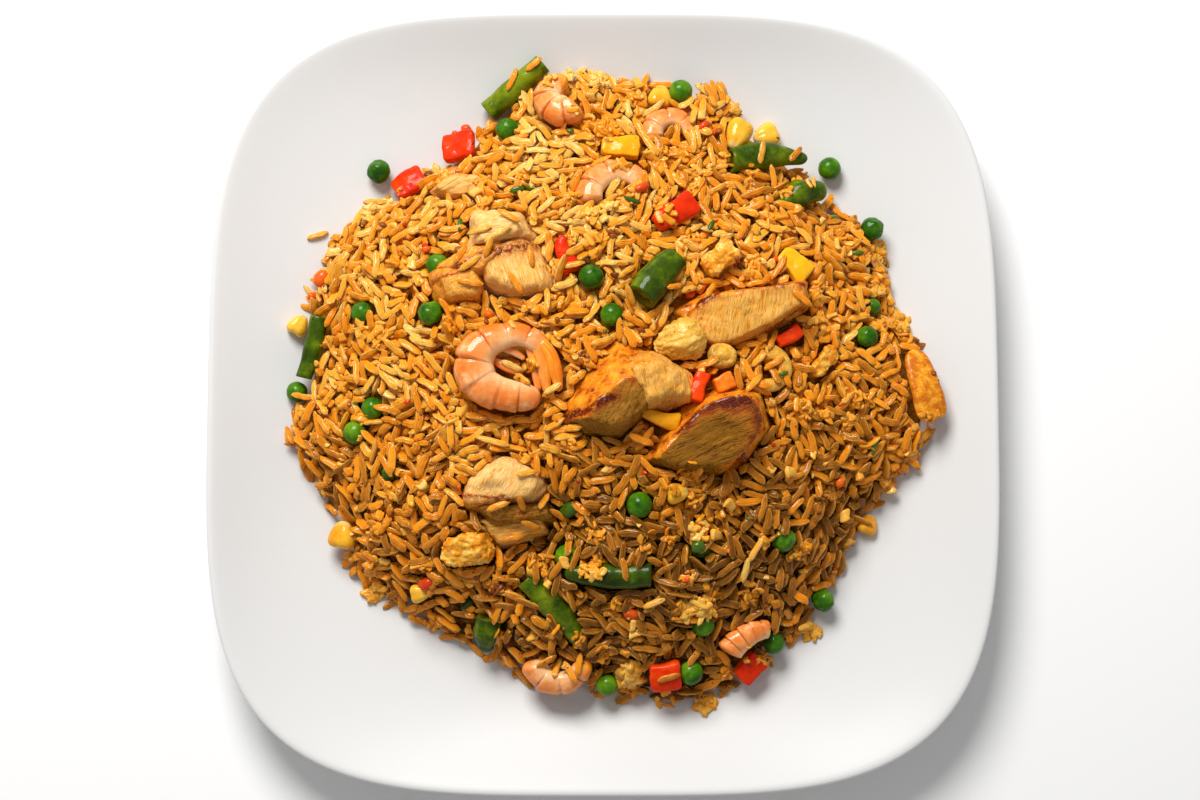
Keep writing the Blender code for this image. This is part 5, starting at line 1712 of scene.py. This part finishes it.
EGG_CURDS = (               # (x, y, turn, half length, half width, half height, browning)
    (-80, 65, 20, 4.0, 3.2, 2.0, 0.1), (32, -47, 30, 3.8, 3.0, 2.2, 0.3), (32, -73, 10, 7.0, 3.0, 1.8, 0.5),
    (8.5, -94.5, 40, 5.0, 4.0, 2.8, 0.4), (-1, 111, 0, 4.0, 3.0, 2.0, 0.0), (95, 51, 70, 4.5, 3.2, 2.2, 0.8),
    (95, 39, 80, 4.5, 3.2, 2.2, 0.9), (103, 26, 60, 4.0, 3.2, 2.2, 0.7), (-2, -62, 70, 3.4, 2.6, 2.0, 0.7),
    (-6, -61, 80, 3.0, 2.2, 1.8, 0.6), (35, -104, 20, 4.2, 3.4, 2.4, 0.9), (-78.6, -66.4, 30, 4.0, 3.4, 2.2, 0.7),
    (70.4, -79.8, 10, 3.8, 3.0, 2.2, 0.6), (-18, 18, 0, 5.0, 2.6, 1.6, 0.1), (2, 62, 20, 3.5, 2.6, 2.0, 0.1))
RED_BITS = (                # (x, y, turn, half length, half width, half height)
    (-97.4, 41.5, 70, 3.4, 2.4, 1.8), (-100.5, 36, 20, 2.2, 1.6, 1.2), (34.5, 93, 40, 2.6, 1.6, 1.4),
    (38.5, 91.5, 10, 1.8, 1.2, 1.0), (-48, 96, 0, 2.0, 1.6, 1.2), (-51.5, 93, 0, 1.6, 1.4, 1.0),
    (58, 44.5, 30, 2.4, 1.4, 1.2), (9.5, -74.5, 0, 3.0, 1.8, 1.4), (-59.5, -64, 30, 2.8, 2.2, 1.6),
    (33, 34, 60, 2.4, 1.2, 1.0), (29, 31.5, 20, 1.8, 1.2, 1.0), (-38, 24.5, 0, 1.8, 1.4, 1.2),
    (13, 69, 30, 2.8, 1.6, 1.2), (-60, 49, 20, 1.8, 1.2, 1.0), (80, -30, 50, 2.0, 1.4, 1.0))
GREEN_BITS = (              # (x, y, turn, half length, half width, half height)
    (-29.3, 69.5, 20, 2.8, 1.2, 0.6), (-24.3, 70, -10, 2.4, 1.0, 0.6), (-48.3, 57, 85, 2.8, 1.2, 0.6),
    (10, 64.5, -20, 3.2, 0.8, 0.5), (36.5, 56.5, 60, 2.8, 0.8, 0.5), (80, 63, 30, 2.2, 1.0, 0.6),
    (87.5, 49.5, 10, 2.2, 1.0, 0.6), (-46, -71, 40, 2.4, 1.2, 0.6), (-11, -40, 30, 3.6, 2.6, 1.6),
    (31.5, -52.5, 0, 2.6, 2.2, 1.6), (60, 5, 20, 1.8, 0.8, 0.5), (92, -18, 80, 3.2, 1.0, 0.5))
BROWN_BITS = (              # (x, y, turn, half length, half width, half height, browning)
    (47, 43.5, 30, 3.6, 2.6, 1.8, 0.5), (-6.5, 9, 130, 3.0, 2.2, 0.8, 0.1),
    (-37, -66, 5, 5.0, 1.6, 1.4, 0.6), (63, 21.5, 60, 2.4, 1.6, 1.0, 0.8), (3, 52, 0, 2.6, 2.0, 1.4, 0.4))


def clumps(table, chance):
    """Each listed clump as the several small lumps that it is made of."""
    lumps_of = []
    for x, y, turn, half, wide, thick, brown in table:
        yaw = math.radians(turn)
        for _ in range(max(6, int(half * wide * 1.5))):
            away, angle = math.sqrt(chance.random()) * 0.8, chance.random() * 2 * math.pi
            dx, dy = away * half * math.cos(angle), away * wide * math.sin(angle)
            lumps_of.append((x + dx * math.cos(yaw) - dy * math.sin(yaw),
                             y + dx * math.sin(yaw) + dy * math.cos(yaw), chance.random() * 180.0,
                             half * chance.uniform(0.3, 0.6), wide * chance.uniform(0.2, 0.42),
                             thick * chance.uniform(0.25, 0.5), brown))
    return lumps_of


def lay_bits(layer, table, shapes, stain=0.0):
    """Rows for listed bits, each at rest on what is below."""
    rows = []
    for i, (x, y, turn, half, wide, thick, *brown) in enumerate(table):
        yaw = math.radians(turn)
        level, slope, _ = layer.rest(x, y, yaw, half * 0.8, wide * 0.8, thick)
        level = layer.settle(x, y, level - thick * 0.55, 0.9)
        layer.press(x, y, level, slope, yaw, half, wide, thick)
        rows.append(((x, y, level), (0.0, -math.atan(slope), yaw), (half, wide, thick), i % shapes,
                     brown[0] if brown else stain))
    return rows


def strew(layer, chance, count, sizes, shapes, flat=0.6, uneven=0.3):
    """Rows for bits of random place and size on the heap, many of them partly sunk among grains."""
    bed = layer.bed
    rows = []
    open_cells = np.argwhere(layer.wanted)
    while len(rows) < count:
        iy, ix = open_cells[chance.integers(len(open_cells))]
        x, y = bed.x[iy, ix], bed.y[iy, ix]
        half = sizes[0] + (sizes[1] - sizes[0]) * chance.random() ** 2
        wide = half * chance.uniform(1.0 - uneven, 1.0)
        thick = half * chance.uniform(flat * 0.7, flat)
        level = bed.height[iy, ix] + thick * chance.uniform(-0.5, 0.4)
        rows.append(((x, y, level), tuple(chance.normal(0.0, 0.4, 2)) + (chance.random() * 6.28,),
                     (half, wide, thick), int(chance.integers(shapes)), chance.random()))
    return rows


def mush(layer, chance, groups):
    """Rows for soft crumbs of rice and egg that cling together in groups."""
    open_cells = np.argwhere(layer.wanted)
    rows = []
    for _ in range(groups):
        iy, ix = open_cells[chance.integers(len(open_cells))]
        x, y = layer.bed.x[iy, ix], layer.bed.y[iy, ix]
        reach = chance.uniform(1.5, 4.5)
        brown = chance.random()
        for _ in range(int(chance.integers(5, 13))):
            away, angle = reach * math.sqrt(chance.random()), chance.random() * 2 * math.pi
            px, py = x + away * math.cos(angle), y + away * math.sin(angle)
            half, wide, thick = chance.uniform(0.9, 2.6), chance.uniform(0.5, 1.25), chance.uniform(0.3, 0.6)
            yaw = chance.random() * math.pi
            level, slope, _ = layer.rest(px, py, yaw, half * 0.7, wide * 0.7, thick)
            level = layer.settle(px, py, level - thick * 0.5, 0.7)
            layer.press(px, py, level, slope, yaw, half, wide, thick)
            # Crumbs take on the rice's browning, which is partly painted shade on the near side.
            rows.append(((px, py, level), (chance.normal(0, 0.6), chance.normal(0, 0.25) - math.atan(slope), yaw),
                         (half, wide, thick), int(chance.integers(5)),
                         brown * 0.6 + sauce_and_shade_share(px, py) * 0.7))
    return rows


def make_bits(look, bed, covered):
    """Egg crumbs, flakes of carrot and pepper, green onion, browned bits and dark specks."""
    layer = Layer(look, bed, covered)
    chance = np.random.default_rng(look.seed + 5)
    kit = shape_kit("Crumb shapes", [crumb_shape(f"crumb_{i + 1}", i, 0.34) for i in range(5)])
    ragged = shape_kit("Mush shapes", [crumb_shape(f"mush_{i + 1}", 40 + i, 0.45, 0.8) for i in range(5)])
    made = []
    finish = bit_finish("soft_crumb", ((0.98, 0.54, 0.10), (0.95, 0.34, 0.012), (0.58, 0.22, 0.008)), 500.0, 0.5)
    made.append(scatter("soft_crumbs", finish, ragged, 6, mush(layer, chance, look.groups), 1.0))
    finish = bit_finish("egg_crumb", ((0.98, 0.64, 0.18), (0.95, 0.44, 0.035), (0.76, 0.24, 0.009)), 420.0, 0.5)
    rows = lay_bits(layer, clumps(EGG_CURDS, chance), 5) + strew(layer, chance, look.crumbs, (0.8, 2.2), 5)
    made.append(scatter("egg_crumbs", finish, ragged, 1, rows, 0.8))
    finish = bit_finish("red_bit", ((0.88, 0.16, 0.006), (0.74, 0.05, 0.003), (0.38, 0.02, 0.002)), 300.0, 0.5)
    rows = lay_bits(layer, RED_BITS, 5) + strew(layer, chance, look.flakes, (0.4, 1.1), 5)
    made.append(scatter("red_bits", finish, kit, 2, rows, 1.0))
    finish = bit_finish("green_bit", ((0.12, 0.20, 0.010), (0.05, 0.11, 0.004), (0.015, 0.045, 0.002)), 300.0, 0.5)
    rows = lay_bits(layer, GREEN_BITS, 5) + strew(layer, chance, look.flakes // 4, (0.5, 1.6), 5, 0.4)
    made.append(scatter("green_bits", finish, kit, 3, rows, 1.0))
    finish = bit_finish("brown_bit", ((0.56, 0.17, 0.012), (0.30, 0.07, 0.005), (0.10, 0.018, 0.002)), 300.0, 0.5)
    rows = lay_bits(layer, clumps(BROWN_BITS, chance), 5) + strew(layer, chance, look.flakes, (0.5, 1.9), 5)
    made.append(scatter("browned_bits", finish, kit, 4, rows, 1.0))
    finish = bit_finish("dark_speck", ((0.05, 0.015, 0.006), (0.02, 0.008, 0.004), (0.01, 0.006, 0.004)), 500.0, 0.3)
    speck = shape_kit("Speck shapes", [crumb_shape(f"speck_{i + 1}", 20 + i, 0.25, cuts=2) for i in range(2)])
    rows = strew(layer, chance, look.specks, (0.16, 0.40), 2, 0.8)
    made.append(scatter("dark_specks", finish, speck, 5, rows, 1.0))
    return made


def bit_finish(name, colours, scale, coat):
    """Finish of small bits: three colours, chosen by the bit's tint, by its browning and painted shade, and by fine
    patches.
    """
    made, tree, shader, where = new_finish(name, 0.38, coat=coat, coat_roughness=0.14, sheen_through=0.08)
    patch = placed(tree, mottle_group(), Vector=where, Scale=scale, Contrast=2.0)["Mask"]
    shade = sums(tree, "ADD", sums(tree, "MULTIPLY", patch, 0.4), sums(tree, "MULTIPLY", point_value(tree, "tint"), 0.4))
    shade = sums(tree, "ADD", shade, sums(tree, "MULTIPLY", point_value(tree, "stain"), 0.3), clamp=True)
    join(tree, ramp(tree, shade, ((0.15, colours[0]), (0.55, colours[1]), (1.0, colours[2]))),
         shader["Base Color"])
    film = placed(tree, oil_group(), Vector=where, Scale=300.0, Dry=0.45, Wet=0.22)
    join(tree, film["Roughness"], shader["Roughness"])
    join(tree, placed(tree, relief_group(), Vector=where, Scale=1300.0, Height=0.0002)["Normal"],
         shader["Normal"])
    return made


# ---------------------------------------------------------------- stage

def make_stage(look):
    """Pale floor, a soft key light from the far side, a weak fill, and the camera above."""
    floor_mesh = bpy.data.meshes.new("floor")
    reach = 1.6
    floor_mesh.from_pydata([(-reach, -reach, 0), (reach, -reach, 0), (reach, reach, 0), (-reach, reach, 0)],
                           [], [(0, 1, 2, 3)])
    finish = bpy.data.materials.new("floor_paper")
    finish.use_nodes = True
    shader = finish.node_tree.nodes["Principled BSDF"].inputs
    shader["Base Color"].default_value = (*look.floor, 1.0)
    shader["Roughness"].default_value = 0.85
    floor_mesh.materials.append(finish)
    floor = bpy.data.objects.new("floor", floor_mesh)
    bpy.context.scene.collection.objects.link(floor)
    target = Vector((-0.001, -0.0011, 0.020))

    def lamp(name, place, size, power, colour):
        data = bpy.data.lights.new(name, "AREA")
        data.shape = "DISK"
        data.size = size
        data.energy = power
        data.color = colour
        lit = bpy.data.objects.new(name, data)
        lit.location = place
        lit.rotation_euler = (target - Vector(place)).to_track_quat("-Z", "Y").to_euler()
        bpy.context.scene.collection.objects.link(lit)

    tilt, compass, away = math.radians(look.key_height), math.radians(look.key_compass), 1.15
    lamp("key_light", (away * math.cos(tilt) * math.cos(compass), away * math.cos(tilt) * math.sin(compass),
                       away * math.sin(tilt)), look.key_size, look.key_power, (1.0, 0.99, 0.97))
    world = bpy.data.worlds.new("studio")
    world.use_nodes = True
    back = world.node_tree.nodes["Background"].inputs
    back["Color"].default_value = (1.0, 1.0, 1.0, 1.0)
    back["Strength"].default_value = look.fill
    bpy.context.scene.world = world
    data = bpy.data.cameras.new("camera")
    data.lens = 75.5
    data.sensor_width = 36.0
    camera = bpy.data.objects.new("camera", data)
    view = math.radians(7.0)
    camera.location = target + Vector((0.0, -0.86 * math.sin(view), 0.86 * math.cos(view)))
    camera.rotation_euler = (view, 0.0, 0.0)
    bpy.context.scene.collection.objects.link(camera)
    bpy.context.scene.camera = camera
    bpy.context.scene.view_settings.view_transform = "Standard"
    return floor


# ---------------------------------------------------------------- settings, operators, panel

def colour_setting(label, what, value):
    """Colour property of a piece."""
    return FloatVectorProperty(name=label, description=what, subtype="COLOR", size=3, min=0.0, max=1.0,
                               default=value)


class FriedRicePlateSettings(PropertyGroup):
    colour: colour_setting("Glaze", "Colour of the white glaze", (0.76, 0.76, 0.758))
    roughness: FloatProperty(name="Roughness", description="Roughness of the glaze", default=0.34, min=0.0, max=1.0)
    sectors: IntProperty(name="Sectors", description="How many steps the turned section takes round the plate",
                         default=256, min=32, max=512)


class FriedRiceGrainSettings(PropertyGroup):
    grains: IntProperty(name="Grains", description="Most grains to lay", default=6400, min=100, max=8000)
    seed: IntProperty(name="Seed", description="Choice of the random layout", default=7)
    shortest: FloatProperty(name="Shortest", description="Half length of the shortest whole grain, in mm",
                            default=3.4, min=1.0, max=8.0)
    longest: FloatProperty(name="Longest", description="Half length of the longest whole grain, in mm",
                           default=5.2, min=1.0, max=8.0)
    broken: FloatProperty(name="Broken", description="Share of broken grains", default=0.16, min=0.0, max=1.0,
                          subtype="FACTOR")
    bundled: FloatProperty(name="Bundled", description="Share of grains that lie along a neighbour", default=0.28,
                           min=0.0, max=1.0, subtype="FACTOR")
    proud: FloatProperty(name="Proud", description="How far a grain may stand over the heap, in mm", default=2.3,
                         min=0.0, max=5.0)
    steepest: FloatProperty(name="Steepest", description="Steepest slope of a grain", default=1.0, min=0.0, max=2.0)
    askew: FloatProperty(name="Askew", description="Share of grains that stand off from those below", default=0.25,
                         min=0.0, max=1.0)
    depth: FloatProperty(name="Loose Depth", description="Depth of loose grains over the core, in mm", default=4.6,
                         min=1.0, max=12.0)
    inset: FloatProperty(name="Inset", description="How far the core stays inside the rice's edge, in mm",
                         default=3.5, min=0.0, max=12.0)
    # Pale, gold and brown run from the lit far side to the shaded near side as well as from little sauce to much: the
    # spread between them is partly painted light and shade.
    pale: colour_setting("Pale", "Rice that took little sauce", (0.98, 0.415, 0.022))
    gold: colour_setting("Gold", "Rice that took the most turmeric", (0.96, 0.290, 0.004))
    brown: colour_setting("Brown", "Rice that took the most soy sauce", (0.50, 0.165, 0.006))
    oil: FloatProperty(name="Oil", description="How much oil lies on the rice", default=0.42, min=0.0, max=1.0,
                       subtype="FACTOR")


class FriedRiceToppingSettings(PropertyGroup):
    seed: IntProperty(name="Seed", description="Choice of the small random differences", default=3)
    pea: colour_setting("Pea", "Skin of the peas", (0.045, 0.16, 0.002))
    corn: colour_setting("Corn", "Skin of the sweetcorn", (0.93, 0.45, 0.02))
    bean: colour_setting("Bean", "Skin of the green beans", (0.055, 0.105, 0.001))
    shrimp: colour_setting("Shrimp", "Flesh of the shrimps", (0.96, 0.33, 0.085))
    shrimp_band: colour_setting("Shrimp Band", "Bands on the shrimps' backs", (0.86, 0.20, 0.018))
    chicken: colour_setting("Chicken", "Flesh of the chicken", (0.24, 0.092, 0.0040))
    glaze: colour_setting("Glaze", "Sticky glaze on seared chicken", (0.88, 0.25, 0.007))
    egg: colour_setting("Egg", "Scrambled egg", (0.94, 0.48, 0.05))
    red_pepper: colour_setting("Red Pepper", "Skin of the red pepper", (0.82, 0.030, 0.001))
    yellow_pepper: colour_setting("Yellow Pepper", "Skin of the yellow pepper", (0.95, 0.40, 0.004))
    mushroom: colour_setting("Mushroom", "Flesh of the mushrooms", (0.88, 0.45, 0.055))


class FriedRiceBitSettings(PropertyGroup):
    seed: IntProperty(name="Seed", description="Choice of the random layout", default=7)
    crumbs: IntProperty(name="Egg Crumbs", description="How many small crumbs of egg", default=170, min=0, max=1000)
    groups: IntProperty(name="Crumb Groups", description="How many groups of soft crumbs", default=110,
                        min=0, max=500)
    flakes: IntProperty(name="Flakes", description="How many small flakes of each kind", default=70, min=0, max=500)
    specks: IntProperty(name="Specks", description="How many dark specks of spice", default=420, min=0, max=2000)
    steepest: FloatProperty(name="Steepest", description="Steepest slope of a bit", default=0.6, min=0.0, max=2.0)


class FriedRiceStageSettings(PropertyGroup):
    floor: colour_setting("Floor", "Colour of the floor", (0.97, 0.97, 0.97))
    key_power: FloatProperty(name="Key Power", description="Power of the key light", default=15.0, unit="POWER")
    key_size: FloatProperty(name="Key Size", description="Width of the key light", default=0.6, unit="LENGTH")
    key_height: FloatProperty(name="Key Height", description="Height of the key light over the floor, in degrees",
                              default=48.0)
    key_compass: FloatProperty(name="Key Direction", description="Direction of the key light from +X, in degrees",
                               default=110.0)
    fill: FloatProperty(name="Fill", description="Strength of the light from all round", default=0.34, min=0.0)


WORK = {}


class FRIEDRICE_OT_plate(Operator):
    """Make the glazed plate"""
    bl_idname = "friedrice.plate"
    bl_label = "Plate"

    def execute(self, context):
        make_plate(context.scene.fried_rice_plate)
        return {"FINISHED"}


class FRIEDRICE_OT_core(Operator):
    """Make the rice under the loose grains, painted dark as the shade between them"""
    bl_idname = "friedrice.core"
    bl_label = "Rice Core"

    def execute(self, context):
        WORK["bed"] = Bed()
        WORK["covered"] = np.zeros(WORK["bed"].x.shape, bool)
        make_core(context.scene.fried_rice_grains, WORK["bed"])
        return {"FINISHED"}


class ToppingOperator:
    """Shared part of the operators that make one kind of topping."""

    def execute(self, context):
        if "bed" not in WORK:
            raise RuntimeError("make the rice core before the toppings")
        made = self.build(context.scene.fried_rice_toppings, WORK["bed"])
        for piece in made if isinstance(made, list) else [made]:
            WORK["covered"] |= WORK["bed"].cover(piece)
        return {"FINISHED"}


class FRIEDRICE_OT_peas(ToppingOperator, Operator):
    """Make the peas"""
    bl_idname = "friedrice.peas"
    bl_label = "Peas"
    build = staticmethod(make_peas)


class FRIEDRICE_OT_corn(ToppingOperator, Operator):
    """Make the sweetcorn"""
    bl_idname = "friedrice.corn"
    bl_label = "Sweetcorn"
    build = staticmethod(make_corn)


class FRIEDRICE_OT_beans(ToppingOperator, Operator):
    """Make the green beans"""
    bl_idname = "friedrice.beans"
    bl_label = "Green Beans"
    build = staticmethod(make_beans)


class FRIEDRICE_OT_shrimps(ToppingOperator, Operator):
    """Make the shrimps"""
    bl_idname = "friedrice.shrimps"
    bl_label = "Shrimps"
    build = staticmethod(make_shrimps)


class FRIEDRICE_OT_chicken(ToppingOperator, Operator):
    """Make the chicken"""
    bl_idname = "friedrice.chicken"
    bl_label = "Chicken"
    build = staticmethod(make_chicken)


class FRIEDRICE_OT_peppers(ToppingOperator, Operator):
    """Make the red pepper, yellow pepper and carrot"""
    bl_idname = "friedrice.peppers"
    bl_label = "Peppers and Carrot"
    build = staticmethod(make_peppers)


class FRIEDRICE_OT_egg(ToppingOperator, Operator):
    """Make the larger pieces of scrambled egg"""
    bl_idname = "friedrice.egg"
    bl_label = "Scrambled Egg"
    build = staticmethod(make_egg)


class FRIEDRICE_OT_mushrooms(ToppingOperator, Operator):
    """Make the mushrooms"""
    bl_idname = "friedrice.mushrooms"
    bl_label = "Mushrooms"
    build = staticmethod(make_mushrooms)


class FRIEDRICE_OT_grains(Operator):
    """Lay the loose grains of rice around the toppings"""
    bl_idname = "friedrice.grains"
    bl_label = "Rice Grains"

    def execute(self, context):
        make_grains(context.scene.fried_rice_grains, WORK["bed"], WORK["covered"])
        return {"FINISHED"}


class FRIEDRICE_OT_bits(Operator):
    """Strew the crumbs, flakes and specks"""
    bl_idname = "friedrice.bits"
    bl_label = "Crumbs and Flakes"

    def execute(self, context):
        make_bits(context.scene.fried_rice_bits, WORK["bed"], WORK["covered"])
        return {"FINISHED"}


class FRIEDRICE_OT_stage(Operator):
    """Make the floor, the lights and the camera"""
    bl_idname = "friedrice.stage"
    bl_label = "Stage"

    def execute(self, context):
        make_stage(context.scene.fried_rice_stage)
        return {"FINISHED"}


STEPS = (FRIEDRICE_OT_plate, FRIEDRICE_OT_core, FRIEDRICE_OT_peas, FRIEDRICE_OT_corn, FRIEDRICE_OT_beans,
         FRIEDRICE_OT_shrimps, FRIEDRICE_OT_chicken, FRIEDRICE_OT_peppers, FRIEDRICE_OT_egg,
         FRIEDRICE_OT_mushrooms, FRIEDRICE_OT_grains, FRIEDRICE_OT_bits, FRIEDRICE_OT_stage)
SETTINGS = {"fried_rice_plate": FriedRicePlateSettings, "fried_rice_grains": FriedRiceGrainSettings,
            "fried_rice_toppings": FriedRiceToppingSettings, "fried_rice_bits": FriedRiceBitSettings,
            "fried_rice_stage": FriedRiceStageSettings}


class FRIEDRICE_PT_panel(Panel):
    """Lists the steps and their settings"""
    bl_idname = "FRIEDRICE_PT_panel"
    bl_label = "Fried Rice Plate"
    bl_space_type = "VIEW_3D"
    bl_region_type = "UI"
    bl_category = "Fried Rice"

    def draw(self, context):
        column = self.layout.column()
        for step in STEPS:
            column.operator(step.bl_idname)
        for name, group in SETTINGS.items():
            box = self.layout.box()
            for label in group.__annotations__:
                box.prop(getattr(context.scene, name), label)


def register():
    """Register the settings, the operators and the panel."""
    for name, group in SETTINGS.items():
        bpy.utils.register_class(group)
        setattr(bpy.types.Scene, name, PointerProperty(type=group))
    for step in STEPS + (FRIEDRICE_PT_panel,):
        bpy.utils.register_class(step)


def unregister():
    """Take everything back out in reverse."""
    for step in (FRIEDRICE_PT_panel,) + STEPS[::-1]:
        bpy.utils.unregister_class(step)
    for name, group in reversed(list(SETTINGS.items())):
        delattr(bpy.types.Scene, name)
        bpy.utils.unregister_class(group)


def main():
    """Make everything in order."""
    register()
    for step in STEPS:
        family, name = step.bl_idname.split(".")
        getattr(getattr(bpy.ops, family), name)()


if __name__ == "__main__":
    main()
